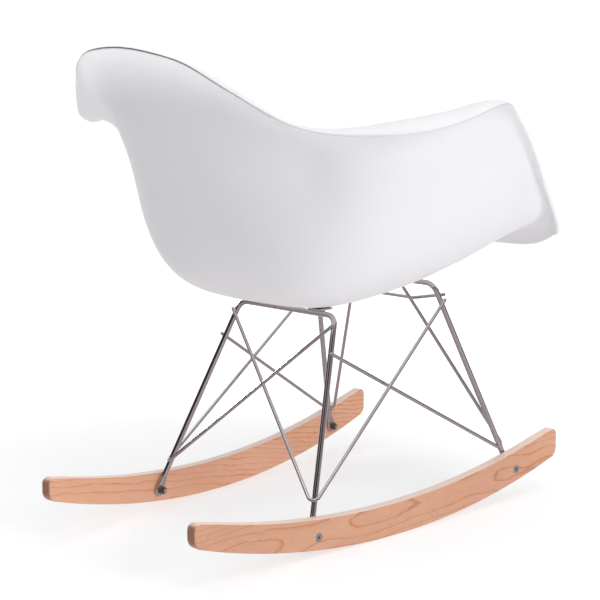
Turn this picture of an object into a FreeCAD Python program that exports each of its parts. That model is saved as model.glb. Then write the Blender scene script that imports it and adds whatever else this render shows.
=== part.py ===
import FreeCAD, Part
import os
import math
import Sketcher

os.makedirs("parts", exist_ok=True)
doc = FreeCAD.newDocument("rocking_chair")
Vec = FreeCAD.Vector

# ---------------------------------------------------------------- dimensions
DIMS = [
    ("shell_wall", 4.6),        # wall of the moulded shell
    ("leg_rod_dia", 8.0),       # front and rear leg rods
    ("leg_bend", 17.0),         # bend between bar and leg, at the rod's middle
    ("brace_dia", 5.0),         # V-shaped brace wires
    ("brace_bend", 8.0),        # bend at the foot of each V
    ("cross_dia", 5.0),         # wire under the front of the seat
    ("cross_bend", 12.0),
    ("eye_dia", 18.0),          # flattened leg end
    ("eye_thick", 5.0),
    ("bolt_dia", 6.0),
    ("bolt_hole", 6.4),
    ("rocker_thick", 16.5),
    ("rocker_radius", 1123.0),  # curve that rolls on the floor
    ("rocker_top_radius", 1261.0),
    ("rocker_top_low", 46.3),   # lowest point of the top edge
    ("rocker_top_shift", 18.4),
    ("rocker_rear", 349.0),
    ("rocker_front", 347.0),
    ("rear_bolt_along", 141.0),
    ("rear_bolt_up", 27.0),
    ("front_bolt_along", 255.2),
    ("front_bolt_up", 48.5),
    ("rocker_half_gap", 165.2), # inner face to the middle plane, above the contact point
    ("rear_bar_y", 29.6),
    ("rear_bar_z", 302.0),
    ("rear_bar_half", 94.4),
    ("front_bar_y", -153.1),
    ("front_bar_z", 330.0),
    ("front_bar_half", 117.9),
    ("mount_half", 56.0),       # mounts to the middle plane
    ("tab_thick", 3.0),
    ("tab_wide", 22.0),
    ("tab_long", 27.0),
    ("spacer_dia", 26.0),
    ("screw_dia", 6.0),
    ("washer_dia", 14.0),
    ("washer_thick", 1.5),
    ("nut_flats", 10.0),
    ("nut_thick", 5.2),
    ("head_dia", 12.6),
    ("socket_flats", 4.0),
]
sheet = doc.addObject("Spreadsheet::Sheet", "Dims")
for i, (name, value) in enumerate(DIMS):
    sheet.set("A%d" % (i + 1), name)
    sheet.set("B%d" % (i + 1), str(value))
    sheet.setAlias("B%d" % (i + 1), name)
doc.recompute()


def dim(name):
    return float(sheet.get(name))


TOE = 0.07                       # the rockers stand wider apart at the front
TOE_ANGLE = math.degrees(math.atan(TOE))
parts = []


def keep(obj, label):
    obj.Label = label
    parts.append(obj)
    return obj


# ------------------------------------------------------------ leg centrelines
def rear_leg(z):
    return Vec(151.0 - 0.2091 * (z - 30.0), 139.1 - 0.4030 * (z - 30.0), z)


def front_leg(z):
    return Vec(179.1 - 0.2040 * (z - 30.0), -261.8 + 0.3622 * (z - 30.0), z)


def inner_face_x(y):
    return dim("rocker_half_gap") - TOE * y


def side(v, s):
    return Vec(v.x * s, v.y, v.z)


def plane_frame(p0, p1, p2):
    x = (p1 - p0).normalize()
    n = x.cross(p2 - p0).normalize()
    y = n.cross(x)
    m = FreeCAD.Matrix(x.x, y.x, n.x, p0.x,
                       x.y, y.y, n.y, p0.y,
                       x.z, y.z, n.z, p0.z,
                       0, 0, 0, 1)
    return FreeCAD.Placement(m)


def origin_plane(body, role):
    for feature in body.Origin.OriginFeatures:
        if feature.Role == role:
            return feature


def new_sketch(body, role, name, offset=None):
    sk = body.newObject("Sketcher::SketchObject", name)
    sk.AttachmentSupport = (origin_plane(body, role), [""])
    sk.MapMode = "FlatFace"
    if offset is not None:
        sk.AttachmentOffset = offset
    return sk


def bind(sk, index, expression):
    sk.setExpression("Constraints[%d]" % index, expression)


def ccw_arc(a, m, b):
    arc = Part.Arc(a, m, b)
    turn = (m - a).cross(b - m).z
    return arc if turn > 0 else Part.Arc(b, m, a)


def bent_path(body, pts, bend_name):
    """Path of straight runs and tangent arcs in the body's XY plane."""
    inv = body.Placement.inverse()
    q = [inv.multVec(p) for p in pts]
    bend = dim(bend_name)
    sk = new_sketch(body, "XY_Plane", "Path")
    start = Vec(0, 0, 0)
    geo = []
    for i in range(1, len(q)):
        a, b = Vec(q[i - 1].x, q[i - 1].y, 0), Vec(q[i].x, q[i].y, 0)
        if i < len(q) - 1:
            c = Vec(q[i + 1].x, q[i + 1].y, 0)
            u, w = (a - b).normalize(), (c - b).normalize()
            half = u.getAngle(w) / 2.0
            back = bend / math.tan(half)
            t1, t2 = b + u * back, b + w * back
            centre = b + (u + w).normalize() * (bend / math.sin(half))
            mid = centre + (b - centre).normalize() * bend
            geo.append(("line", start, t1))
            geo.append(("arc", t1, mid, t2))
            start = t2
        else:
            geo.append(("line", start, b))
    ids, ends = [], []
    for g in geo:
        if g[0] == "line":
            ids.append(sk.addGeometry(Part.LineSegment(g[1], g[2]), False))
            ends.append((1, 2))
        else:
            k = sk.addGeometry(ccw_arc(g[1], g[2], g[3]), False)
            ids.append(k)
            arc = sk.Geometry[k]
            fwd = (arc.StartPoint - g[1]).Length < (arc.EndPoint - g[1]).Length
            ends.append((1, 2) if fwd else (2, 1))
    sk.addConstraint(Sketcher.Constraint("Coincident", ids[0], 1, -1, 1))
    sk.addConstraint(Sketcher.Constraint("Horizontal", ids[0]))
    for k in range(len(ids) - 1):
        sk.addConstraint(Sketcher.Constraint("Tangent", ids[k], ends[k][1], ids[k + 1], ends[k + 1][0]))
    for k, g in enumerate(geo):
        if g[0] == "arc":
            c = sk.addConstraint(Sketcher.Constraint("Radius", ids[k], bend))
            bind(sk, c, "Dims." + bend_name)
    for k, g in enumerate(geo[:-1]):
        if g[0] == "line":
            sk.addConstraint(Sketcher.Constraint("Distance", ids[k], (g[2] - g[1]).Length))
    last = q[-1]
    sk.addConstraint(Sketcher.Constraint("DistanceX", -1, 1, ids[-1], 2, last.x))
    sk.addConstraint(Sketcher.Constraint("DistanceY", -1, 1, ids[-1], 2, last.y))
    return sk, len(geo)


def rod_profile(body, dia_name):
    sk = new_sketch(body, "YZ_Plane", "Profile")
    c = sk.addGeometry(Part.Circle(Vec(0, 0, 0), Vec(0, 0, 1), dim(dia_name) / 2.0), False)
    sk.addConstraint(Sketcher.Constraint("Coincident", c, 3, -1, 1))
    k = sk.addConstraint(Sketcher.Constraint("Diameter", c, dim(dia_name)))
    bind(sk, k, "Dims." + dia_name)
    return sk


def bent_wire(label, pts, dia_name, bend_name):
    body = doc.addObject("PartDesign::Body", label)
    body.Placement = plane_frame(pts[0], pts[1], pts[2])
    path, count = bent_path(body, pts, bend_name)
    prof = rod_profile(body, dia_name)
    doc.recompute()
    pipe = body.newObject("PartDesign::AdditivePipe", "Rod")
    pipe.Profile = prof
    pipe.Spine = (path, ["Edge%d" % (i + 1) for i in range(count)])
    body.Tip = pipe
    doc.recompute()
    return body, pipe


# ------------------------------------------------------------------ leg rods
def leg_rod(label, bar_y, bar_z, bar_half, leg_at, bolt_y, bolt_z):
    """One rod: bar under the seat, bend, leg; the other half is mirrored."""
    eye = Vec(inner_face_x(bolt_y), bolt_y, bolt_z)
    top = Vec(bar_half, bar_y, bar_z)
    centre = Vec(inner_face_x(bolt_y) - 2.6, bolt_y, bolt_z)
    end = centre + (top - centre).normalize() * 7.5
    body, pipe = bent_wire(label, [Vec(0, bar_y, bar_z), top, end], "leg_rod_dia", "leg_bend")
    inward = Vec(-1.0, -TOE, 0).normalize()
    along = Vec(0, 0, 1)
    cross = inward.cross(along)
    m = FreeCAD.Matrix(along.x, cross.x, inward.x, eye.x,
                       along.y, cross.y, inward.y, eye.y,
                       along.z, cross.z, inward.z, eye.z,
                       0, 0, 0, 1)
    glob = FreeCAD.Placement(m)
    local = body.Placement.inverse().multiply(glob)
    yz = FreeCAD.Placement(Vec(0, 0, 0), FreeCAD.Rotation(Vec(1, 1, 1), 120))
    sk = new_sketch(body, "YZ_Plane", "Eye", yz.inverse().multiply(local))
    c1 = sk.addGeometry(Part.Circle(Vec(0, 0, 0), Vec(0, 0, 1), dim("eye_dia") / 2.0), False)
    c2 = sk.addGeometry(Part.Circle(Vec(0, 0, 0), Vec(0, 0, 1), dim("bolt_hole") / 2.0), False)
    sk.addConstraint(Sketcher.Constraint("Coincident", c1, 3, -1, 1))
    sk.addConstraint(Sketcher.Constraint("Coincident", c2, 3, -1, 1))
    k1 = sk.addConstraint(Sketcher.Constraint("Diameter", c1, dim("eye_dia")))
    k2 = sk.addConstraint(Sketcher.Constraint("Diameter", c2, dim("bolt_hole")))
    bind(sk, k1, "Dims.eye_dia")
    bind(sk, k2, "Dims.bolt_hole")
    doc.recompute()
    pad = body.newObject("PartDesign::Pad", "EyePad")
    pad.Profile = sk
    pad.Length = dim("eye_thick")
    pad.setExpression("Length", "Dims.eye_thick")
    body.Tip = pad
    doc.recompute()
    mir = body.newObject("PartDesign::Mirrored", "OtherHalf")
    mir.Originals = [pipe, pad]
    mir.MirrorPlane = (origin_plane(body, "YZ_Plane"), [""])
    body.Tip = mir
    doc.recompute()
    return keep(body, label)


rear_rod = leg_rod("rear_leg_rod", dim("rear_bar_y"), dim("rear_bar_z"), dim("rear_bar_half"),
                   rear_leg, dim("rear_bolt_along"), dim("rear_bolt_up"))
front_rod = leg_rod("front_leg_rod", dim("front_bar_y"), dim("front_bar_z"), dim("front_bar_half"),
                    front_leg, -dim("front_bolt_along"), dim("front_bolt_up"))


# ---------------------------------------------------------------- brace wires
def v_corner(end_a, foot, end_b):
    """Corner of the two runs whose rounded bend passes through the foot point."""
    bend = dim("brace_bend")
    corner = Vec(foot)
    for _ in range(6):
        u, w = (end_a - corner).normalize(), (end_b - corner).normalize()
        half = u.getAngle(w) / 2.0
        corner = foot - (u + w).normalize() * (bend / math.sin(half) - bend)
    return corner


GAP = dim("leg_rod_dia") / 2.0 + dim("brace_dia") / 2.0 - 0.1


def past(end, corner, extra):
    return end + (end - corner).normalize() * extra


for tag, s in (("right", -1.0), ("left", 1.0)):
    # round the rear leg: one run to the front leg, one across the back
    foot = rear_leg(70.0) + Vec(0.72, 0.72, 0) * GAP
    a = front_leg(303.0) + Vec(GAP, 0, 0)
    b = side(rear_leg(288.0), -1.0) + Vec(0, GAP, 0)
    corner = v_corner(a, foot, b)
    pts = [side(past(a, corner, 6.0), s), side(corner, s), side(past(b, corner, 6.0), s)]
    body, _ = bent_wire("brace_rear_" + tag, pts, "brace_dia", "brace_bend")
    keep(body, "brace_rear_" + tag)
    # round the front leg: one run to the rear leg, one up to the front bar
    foot = front_leg(81.0) + Vec(0.72, -0.72, 0) * GAP
    a = rear_leg(252.0) + Vec(GAP, 0, 0)
    b = Vec(41.5, dim("front_bar_y") - GAP, dim("front_bar_z") + 2.0)
    corner = v_corner(a, foot, b)
    pts = [side(past(a, corner, 6.0), s), side(corner, s), side(past(b, corner, 2.0), s)]
    body, _ = bent_wire("brace_front_" + tag, pts, "brace_dia", "brace_bend")
    keep(body, "brace_front_" + tag)

# wire across the front, low in the middle, welded to both front legs
leg_top = front_leg(312.5)
pts = [Vec(-leg_top.x - 6.5, leg_top.y - GAP - 1.2, 313.5), Vec(-57.0, -181.6, 299.0),
       Vec(57.0, -181.6, 299.0), Vec(leg_top.x + 6.5, leg_top.y - GAP - 1.2, 313.5)]
body, _ = bent_wire("front_cross_wire", pts, "cross_dia", "cross_bend")
keep(body, "front_cross_wire")


# ------------------------------------------------------------------- rockers
def rocker(label, s):
    """Curved plank; the profile lies in the plank's inner face."""
    body = doc.addObject("PartDesign::Body", label)
    f = s                               # mirrors the profile for the other side
    if s > 0:
        rot = FreeCAD.Rotation(Vec(0, 0, 1), TOE_ANGLE)
    else:
        rot = FreeCAD.Rotation(Vec(0, 0, 1), 180.0 - TOE_ANGLE)
    body.Placement = FreeCAD.Placement(Vec(s * dim("rocker_half_gap"), 0, 0), rot)
    R, RT = dim("rocker_radius"), dim("rocker_top_radius")
    low, shift = dim("rocker_top_low"), dim("rocker_top_shift")

    def zb(v):
        return R - math.sqrt(R * R - v * v)

    def zt(v):
        return low + RT - math.sqrt(RT * RT - (v - shift) ** 2)

    rear, front = dim("rocker_rear"), dim("rocker_front")
    sk = new_sketch(body, "YZ_Plane", "Side")
    P = lambda a, b: Vec(f * a, b, 0)
    rb, fb = rear - 15.0, -(front - 15.0)
    rt, ft = rear - 8.0, -(front - 8.0)
    r_hi, r_lo = zt(rt) - 5.5, zb(rear) + 13.0
    f_hi, f_lo = zt(ft) - 5.5, zb(front) + 13.0
    mid_b, mid_t = 0.0, 10.0
    g = []
    g.append(sk.addGeometry(ccw_arc(P(fb, zb(fb)), P(mid_b, zb(mid_b)), P(rb, zb(rb))), False))
    g.append(sk.addGeometry(ccw_arc(P(rb, zb(rb)), P(rear - 3.6, zb(rear - 4) + 5.6), P(rear, r_lo)), False))
    g.append(sk.addGeometry(Part.LineSegment(P(rear, r_lo), P(rear, r_hi)), False))
    g.append(sk.addGeometry(Part.LineSegment(P(rear, r_hi), P(rt, zt(rt))), False))
    g.append(sk.addGeometry(ccw_arc(P(rt, zt(rt)), P(mid_t, zt(mid_t)), P(ft, zt(ft))), False))
    g.append(sk.addGeometry(Part.LineSegment(P(ft, zt(ft)), P(-front, f_hi)), False))
    g.append(sk.addGeometry(Part.LineSegment(P(-front, f_hi), P(-front, f_lo)), False))
    g.append(sk.addGeometry(ccw_arc(P(-front, f_lo), P(-(front - 3.6), zb(front - 4) + 5.6), P(fb, zb(fb))), False))

    def near_end(k, p):
        a = sk.Geometry[k]
        return 1 if (a.StartPoint - p).Length < (a.EndPoint - p).Length else 2

    joints = [(0, 1, P(rb, zb(rb))), (1, 2, P(rear, r_lo)), (2, 3, P(rear, r_hi)), (3, 4, P(rt, zt(rt))),
              (4, 5, P(ft, zt(ft))), (5, 6, P(-front, f_hi)), (6, 7, P(-front, f_lo)), (7, 0, P(fb, zb(fb)))]
    for a, b, p in joints:
        sk.addConstraint(Sketcher.Constraint("Coincident", g[a], near_end(g[a], p), g[b], near_end(g[b], p)))
    k = sk.addConstraint(Sketcher.Constraint("Radius", g[0], R))
    bind(sk, k, "Dims.rocker_radius")
    sk.addConstraint(Sketcher.Constraint("PointOnObject", g[0], 3, -2))
    k = sk.addConstraint(Sketcher.Constraint("DistanceY", -1, 1, g[0], 3, R))
    bind(sk, k, "Dims.rocker_radius")
    k = sk.addConstraint(Sketcher.Constraint("Radius", g[4], RT))
    bind(sk, k, "Dims.rocker_top_radius")
    k = sk.addConstraint(Sketcher.Constraint("DistanceX", -1, 1, g[4], 3, f * shift))
    k = sk.addConstraint(Sketcher.Constraint("DistanceY", -1, 1, g[4], 3, low + RT))
    bind(sk, k, "Dims.rocker_top_low + Dims.rocker_top_radius")
    for gi, p in ((0, P(rb, zb(rb))), (0, P(fb, zb(fb))), (4, P(rt, zt(rt))), (4, P(ft, zt(ft)))):
        sk.addConstraint(Sketcher.Constraint("DistanceX", -1, 1, g[gi], near_end(g[gi], p), p.x))
    for gi, p in ((2, P(rear, r_lo)), (2, P(rear, r_hi)), (6, P(-front, f_lo)), (6, P(-front, f_hi))):
        e = near_end(g[gi], p)
        sk.addConstraint(Sketcher.Constraint("DistanceX", -1, 1, g[gi], e, p.x))
        sk.addConstraint(Sketcher.Constraint("DistanceY", -1, 1, g[gi], e, p.y))
    sk.addConstraint(Sketcher.Constraint("Radius", g[1], sk.Geometry[g[1]].Radius))
    sk.addConstraint(Sketcher.Constraint("Radius", g[7], sk.Geometry[g[7]].Radius))
    bolts = ((dim("rear_bolt_along"), dim("rear_bolt_up")), (-dim("front_bolt_along"), dim("front_bolt_up")))
    for a, b in bolts:
        c = sk.addGeometry(Part.Circle(P(a, b), Vec(0, 0, 1), dim("bolt_hole") / 2.0), False)
        sk.addConstraint(Sketcher.Constraint("DistanceX", -1, 1, c, 3, f * a))
        sk.addConstraint(Sketcher.Constraint("DistanceY", -1, 1, c, 3, b))
        k = sk.addConstraint(Sketcher.Constraint("Diameter", c, dim("bolt_hole")))
        bind(sk, k, "Dims.bolt_hole")
    doc.recompute()
    pad = body.newObject("PartDesign::Pad", "Plank")
    pad.Profile = sk
    pad.Length = dim("rocker_thick")
    pad.setExpression("Length", "Dims.rocker_thick")
    body.Tip = pad
    doc.recompute()
    t = dim("rocker_thick")
    for n, (a, b) in enumerate(bolts):
        cone = body.newObject("PartDesign::SubtractiveCone", "Countersink%d" % (n + 1))
        cone.Radius1 = 3.2
        cone.Radius2 = dim("head_dia") / 2.0 + 0.15
        cone.Height = 3.6
        cone.AttachmentSupport = (origin_plane(body, "YZ_Plane"), [""])
        cone.MapMode = "FlatFace"
        cone.AttachmentOffset = FreeCAD.Placement(Vec(f * a, b, t - 3.55), FreeCAD.Rotation())
        doc.recompute()
    return keep(body, label)


rocker("rocker_right", -1.0)
rocker("rocker_left", 1.0)


# ----------------------------------------------------- primitives for fasteners
def cylinder(name, r_expr, h_expr, z=0.0):
    c = doc.addObject("Part::Cylinder", name)
    c.setExpression("Radius", r_expr)
    c.setExpression("Height", h_expr)
    c.Placement = FreeCAD.Placement(Vec(0, 0, z), FreeCAD.Rotation())
    return c


def prism(name, flats_expr, h_expr, z=0.0):
    c = doc.addObject("Part::Prism", name)
    c.Polygon = 6
    c.setExpression("Circumradius", "(" + flats_expr + ") / 1.7320508")
    c.setExpression("Height", h_expr)
    c.Placement = FreeCAD.Placement(Vec(0, 0, z), FreeCAD.Rotation())
    return c


def cut(name, a, b):
    c = doc.addObject("Part::Cut", name)
    c.Base, c.Tool = a, b
    return c


def fuse(name, items):
    c = doc.addObject("Part::MultiFuse", name)
    c.Shapes = items
    return c


def facing(axis, at):
    return FreeCAD.Placement(at, FreeCAD.Rotation(Vec(0, 0, 1), axis))


t_eye, t_w, t_n, t_r = dim("eye_thick"), dim("washer_thick"), dim("nut_thick"), dim("rocker_thick")
grip = t_r + t_eye + t_w + t_n + 2.0
for fr, by, bz in (("rear", dim("rear_bolt_along"), dim("rear_bolt_up")),
                   ("front", -dim("front_bolt_along"), dim("front_bolt_up"))):
    for tag, s in (("right", -1.0), ("left", 1.0)):
        out = Vec(s, TOE, 0).normalize()
        # distances along the plank's own plane
        norm = math.sqrt(1.0 + TOE * TOE)
        y = by / norm
        face = Vec(s * (dim("rocker_half_gap") - TOE * y), y, bz)
        lab = "rocker_bolt_%s_%s" % (fr, tag)
        head = doc.addObject("Part::Cone", lab + "_head")
        head.Radius1 = 3.0
        head.setExpression("Radius2", "Dims.head_dia / 2")
        head.Height = 3.4
        head.Placement = FreeCAD.Placement(Vec(0, 0, -3.4), FreeCAD.Rotation())
        shank = cylinder(lab + "_shank", "Dims.bolt_dia / 2", str(grip - 3.3), -grip)
        key = prism(lab + "_key", "Dims.socket_flats", "3", -2.4)
        whole = fuse(lab + "_whole", [head, shank])
        bolt = cut(lab, whole, key)
        bolt.Placement = facing(out, face + out * (t_r - 0.1))
        keep(bolt, lab)
        lab = "rocker_washer_%s_%s" % (fr, tag)
        w = cut(lab, cylinder(lab + "_disc", "Dims.washer_dia / 2", "Dims.washer_thick"),
                cylinder(lab + "_hole", "Dims.bolt_dia / 2 + 0.15", "Dims.washer_thick + 2", -1.0))
        w.Placement = facing(out * -1.0, face - out * t_eye)
        keep(w, lab)
        lab = "rocker_nut_%s_%s" % (fr, tag)
        n = cut(lab, prism(lab + "_hex", "Dims.nut_flats", "Dims.nut_thick"),
                cylinder(lab + "_hole", "Dims.bolt_dia / 2", "Dims.nut_thick + 2", -1.0))
        n.Placement = facing(out * -1.0, face - out * (t_eye + t_w))
        keep(n, lab)

# -------------------------------------------------------------------- shell
# Control net of the shell's half, from the middle plane to the rim, one row
# after the other from the front lip to the top of the back.
NET = [
    [(0.00, -361.82, 366.72), (71.00, -364.09, 367.06), (120.78, -366.80, 366.46), (154.07, -366.10, 373.00), (175.69, -359.22, 384.60), (187.50, -350.50, 390.00), (198.76, -343.96, 391.45), (205.15, -338.19, 395.29), (207.78, -335.33, 397.59), (210.32, -331.87, 400.85), (212.63, -328.03, 404.87), (214.62, -324.17, 409.16), (215.90, -321.38, 412.38), (216.50, -320.00, 414.00)],
    [(0.00, -357.86, 383.90), (70.76, -360.03, 384.46), (120.63, -362.78, 384.39), (155.41, -362.36, 389.04), (178.92, -356.16, 397.59), (192.73, -345.96, 404.54), (201.77, -337.35, 409.04), (207.31, -330.08, 413.68), (209.69, -326.56, 416.14), (212.16, -322.42, 419.35), (214.57, -317.92, 423.13), (216.79, -313.48, 427.09), (218.28, -310.31, 430.03), (219.00, -308.75, 431.50)],
    [(0.00, -347.17, 403.17), (70.40, -349.13, 403.50), (120.89, -351.31, 403.78), (157.58, -350.58, 406.25), (183.99, -344.44, 412.11), (200.52, -331.78, 422.03), (207.77, -320.51, 431.27), (212.73, -311.14, 438.42), (214.96, -306.71, 441.80), (217.34, -301.73, 445.64), (219.74, -296.54, 449.73), (221.99, -291.56, 453.72), (223.53, -288.11, 456.52), (224.27, -286.43, 457.90)],
    [(0.00, -315.64, 405.79), (69.95, -317.08, 404.78), (121.99, -317.02, 404.75), (160.34, -314.41, 406.87), (190.57, -306.53, 415.18), (209.86, -291.62, 431.71), (218.84, -279.02, 448.39), (225.04, -268.19, 462.64), (227.70, -263.23, 469.12), (230.32, -257.98, 475.87), (232.68, -252.92, 482.29), (234.68, -248.39, 487.95), (235.91, -245.42, 491.59), (236.49, -244.02, 493.30)],
    [(0.00, -258.95, 387.65), (69.40, -259.38, 386.75), (121.28, -257.23, 387.70), (161.65, -254.20, 392.46), (195.77, -246.98, 407.46), (218.31, -235.24, 435.71), (229.35, -225.07, 464.35), (237.54, -216.00, 488.34), (241.22, -211.91, 499.10), (245.13, -207.78, 510.04), (248.98, -204.02, 520.15), (252.51, -200.85, 528.82), (254.87, -198.90, 534.25), (256.00, -198.01, 536.76)],
    [(0.00, -164.84, 350.41), (68.40, -164.75, 349.91), (119.56, -163.33, 354.31), (161.05, -161.02, 362.91), (197.94, -156.62, 386.23), (223.53, -148.29, 429.46), (236.26, -141.29, 474.04), (246.37, -135.48, 515.34), (251.31, -133.09, 533.46), (257.26, -131.12, 550.59), (263.89, -129.83, 564.68), (270.59, -129.21, 575.15), (275.45, -129.13, 580.67), (277.86, -129.17, 582.96)],
    [(0.00, -74.69, 323.77), (67.44, -74.49, 324.74), (117.74, -73.54, 331.89), (159.47, -71.94, 343.83), (199.34, -69.65, 371.15), (227.42, -63.52, 423.74), (241.91, -56.96, 484.93), (253.99, -55.33, 546.70), (260.69, -55.62, 572.41), (270.18, -57.64, 593.17), (282.19, -61.42, 605.38), (295.38, -66.29, 609.48), (305.50, -70.38, 607.92), (310.64, -72.53, 606.18)],
    [(0.00, 10.52, 312.27), (67.42, 10.95, 312.87), (117.35, 12.29, 320.97), (159.42, 12.74, 335.07), (201.10, 13.61, 366.84), (230.61, 15.93, 424.80), (245.55, 20.31, 485.97), (258.44, 20.50, 542.53), (265.70, 19.81, 565.36), (276.11, 17.87, 582.66), (289.38, 14.74, 591.25), (304.01, 10.91, 591.95), (315.26, 7.80, 588.09), (320.98, 6.19, 585.25)],
    [(0.00, 86.05, 312.74), (69.01, 85.78, 312.17), (119.57, 84.76, 317.40), (160.29, 81.83, 336.40), (199.85, 79.93, 374.75), (227.07, 81.56, 436.69), (239.75, 85.04, 497.91), (252.21, 88.36, 548.52), (259.36, 90.12, 567.79), (269.73, 92.42, 580.27), (282.95, 95.15, 583.22), (297.52, 98.02, 578.13), (308.70, 100.16, 570.06), (314.39, 101.24, 565.13)],
    [(0.00, 151.67, 338.95), (68.29, 149.97, 339.63), (117.03, 147.23, 347.91), (153.37, 142.39, 372.29), (181.22, 139.25, 412.68), (201.56, 135.13, 466.07), (211.75, 134.71, 513.42), (221.88, 141.28, 546.44), (226.70, 145.53, 558.89), (231.98, 151.80, 567.39), (237.26, 159.65, 570.48), (242.12, 168.12, 568.99), (245.37, 174.50, 565.44), (246.92, 177.71, 563.16)],
    [(0.00, 191.45, 391.67), (64.35, 189.09, 395.41), (107.18, 183.94, 407.59), (136.93, 176.20, 435.42), (160.58, 170.11, 475.55), (171.96, 159.34, 519.54), (180.76, 162.85, 545.42), (190.91, 174.72, 559.84), (195.97, 181.10, 565.19), (201.84, 188.75, 569.13), (208.05, 196.87, 571.27), (214.01, 204.62, 571.88), (218.15, 209.93, 571.51), (220.16, 212.50, 571.16)],
    [(0.00, 225.75, 464.96), (57.83, 223.07, 469.13), (95.94, 214.84, 482.66), (123.81, 205.04, 506.86), (145.00, 200.01, 536.61), (159.18, 196.79, 563.56), (168.72, 202.10, 574.92), (177.73, 211.25, 578.87), (182.22, 215.80, 580.04), (187.62, 220.81, 580.59), (193.57, 225.72, 580.59), (199.51, 230.10, 580.19), (203.76, 232.93, 579.73), (205.86, 234.26, 579.47)],
    [(0.00, 253.62, 528.09), (53.05, 251.02, 531.56), (89.05, 243.34, 542.64), (115.98, 235.35, 559.36), (136.45, 230.13, 578.86), (151.49, 229.88, 592.45), (161.44, 233.65, 596.00), (169.60, 238.19, 595.85), (173.44, 240.22, 595.33), (177.87, 242.22, 594.12), (182.66, 243.86, 592.46), (187.40, 245.10, 590.58), (190.80, 245.73, 589.18), (192.48, 245.98, 588.50)],
    [(0.00, 279.15, 585.50), (48.08, 276.77, 587.22), (81.14, 266.68, 594.40), (106.04, 257.77, 601.95), (127.81, 252.87, 608.92), (144.62, 252.20, 610.81), (154.56, 253.62, 608.80), (161.83, 255.05, 606.15), (165.16, 255.58, 604.70), (168.95, 255.91, 602.84), (173.00, 255.94, 600.80), (176.97, 255.73, 598.78), (179.79, 255.44, 597.36), (181.18, 255.27, 596.66)],
    [(0.00, 291.25, 619.62), (44.29, 288.89, 620.50), (76.50, 282.01, 623.07), (101.23, 272.60, 625.12), (123.47, 267.37, 625.51), (140.37, 265.67, 621.16), (149.51, 265.07, 616.25), (156.25, 264.58, 612.37), (159.37, 264.25, 610.48), (162.92, 263.70, 608.36), (166.68, 262.95, 606.11), (170.37, 262.05, 603.98), (172.98, 261.32, 602.55), (174.28, 260.89, 601.95)],
    [(0.00, 306.14, 650.78), (40.74, 304.80, 650.48), (71.95, 299.89, 648.86), (97.12, 290.03, 645.12), (118.95, 284.44, 639.69), (134.44, 280.78, 630.59), (142.73, 277.31, 624.07), (149.35, 274.69, 619.29), (152.45, 273.44, 617.08), (155.97, 271.93, 614.72), (159.64, 270.38, 612.16), (163.21, 268.78, 609.83), (165.71, 267.59, 608.28), (166.94, 266.98, 607.57)],
    [(0.00, 322.24, 668.29), (38.24, 321.77, 667.04), (68.91, 317.83, 662.34), (94.36, 306.19, 655.33), (114.59, 299.45, 647.24), (128.60, 293.32, 637.04), (136.53, 287.61, 630.03), (143.37, 283.20, 624.82), (146.60, 281.14, 622.44), (150.21, 278.90, 619.74), (153.98, 276.50, 617.06), (157.58, 273.95, 614.81), (160.06, 272.35, 613.07), (161.27, 271.55, 612.25)],
    [(0.00, 333.65, 672.69), (36.85, 333.72, 670.64), (67.48, 329.07, 665.31), (93.00, 315.37, 658.03), (111.96, 307.67, 649.30), (125.51, 299.80, 639.83), (133.48, 292.87, 633.00), (140.45, 287.45, 627.73), (143.73, 285.05, 625.14), (147.42, 282.29, 622.42), (151.22, 279.41, 619.69), (154.83, 276.69, 617.07), (157.31, 274.93, 615.15), (158.52, 274.14, 614.15)],
]
KNOTS_U = [0, 0, 0, 0, 0.04545455, 0.09090909, 0.1818182, 0.2727273, 0.3636364, 0.4545455, 0.5454545, 0.6363636, 0.7272727, 0.8181818, 0.9090909, 0.9363636, 0.9590909, 0.9818182, 1, 1, 1, 1]
KNOTS_V = [0, 0, 0, 0, 0.008571429, 0.01857143, 0.03, 0.04428571, 0.05857143, 0.07142857, 0.1428571, 0.2142857, 0.2857143, 0.3571429, 0.4285714, 0.5, 0.5714286, 0.6428571, 0.7142857, 0.7857143, 0.8571429, 0.9285714, 0.9414286, 0.9557143, 0.97, 0.9814286, 0.9914286, 1, 1, 1, 1]
ROWS, COLS = len(NET), len(NET[0])


def knots(n):
    """Knots and their multiplicities along or across the shell."""
    flat = KNOTS_U if n == ROWS else KNOTS_V
    kn, mu = [], []
    for k in flat:
        if kn and abs(k - kn[-1]) < 1e-9:
            mu[-1] += 1
        else:
            kn.append(k)
            mu.append(1)
    return kn, mu


def greville(n, degree=3):
    kn, mu = knots(n)
    flat = []
    for k, m in zip(kn, mu):
        flat += [k] * m
    return [sum(flat[i + 1:i + 1 + degree]) / degree for i in range(n)]


def surface(poles):
    bs = Part.BSplineSurface()
    ku, mu = knots(len(poles))
    kv, mv = knots(len(poles[0]))
    bs.buildFromPolesMultsKnots(poles, mu, mv, ku, kv, False, False, 3, 3)
    return bs


def whole_net(half):
    rows = []
    for r in half:
        rows.append([Vec(-p[0], p[1], p[2]) for p in r[:0:-1]] + [Vec(*p) for p in r])
    return rows


base = whole_net(NET)
mid = surface(base)
gu, gv = greville(ROWS), greville(2 * COLS - 1)
centre_col = COLS - 1


def up_normal(i, j):
    n = mid.normal(min(max(gu[i], 0.004), 0.996), min(max(gv[j], 0.004), 0.996))
    return n


flip = 1.0 if up_normal(5, centre_col).z > 0 else -1.0
# how far the wall lies outside the net's surface: none in the seat, all at the rim
OFF_V = ([0.5, 0.72, 0.80, 0.88, 0.95, 1.0], [0.0, 0.0, 0.1, 0.5, 1.0, 1.0])
OFF_U = ([0.0, 0.03, 0.09, 0.18, 0.82, 0.91, 0.97, 1.0], [0.3, 0.6, 0.3, 0.0, 0.0, 0.3, 0.7, 1.0])


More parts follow.
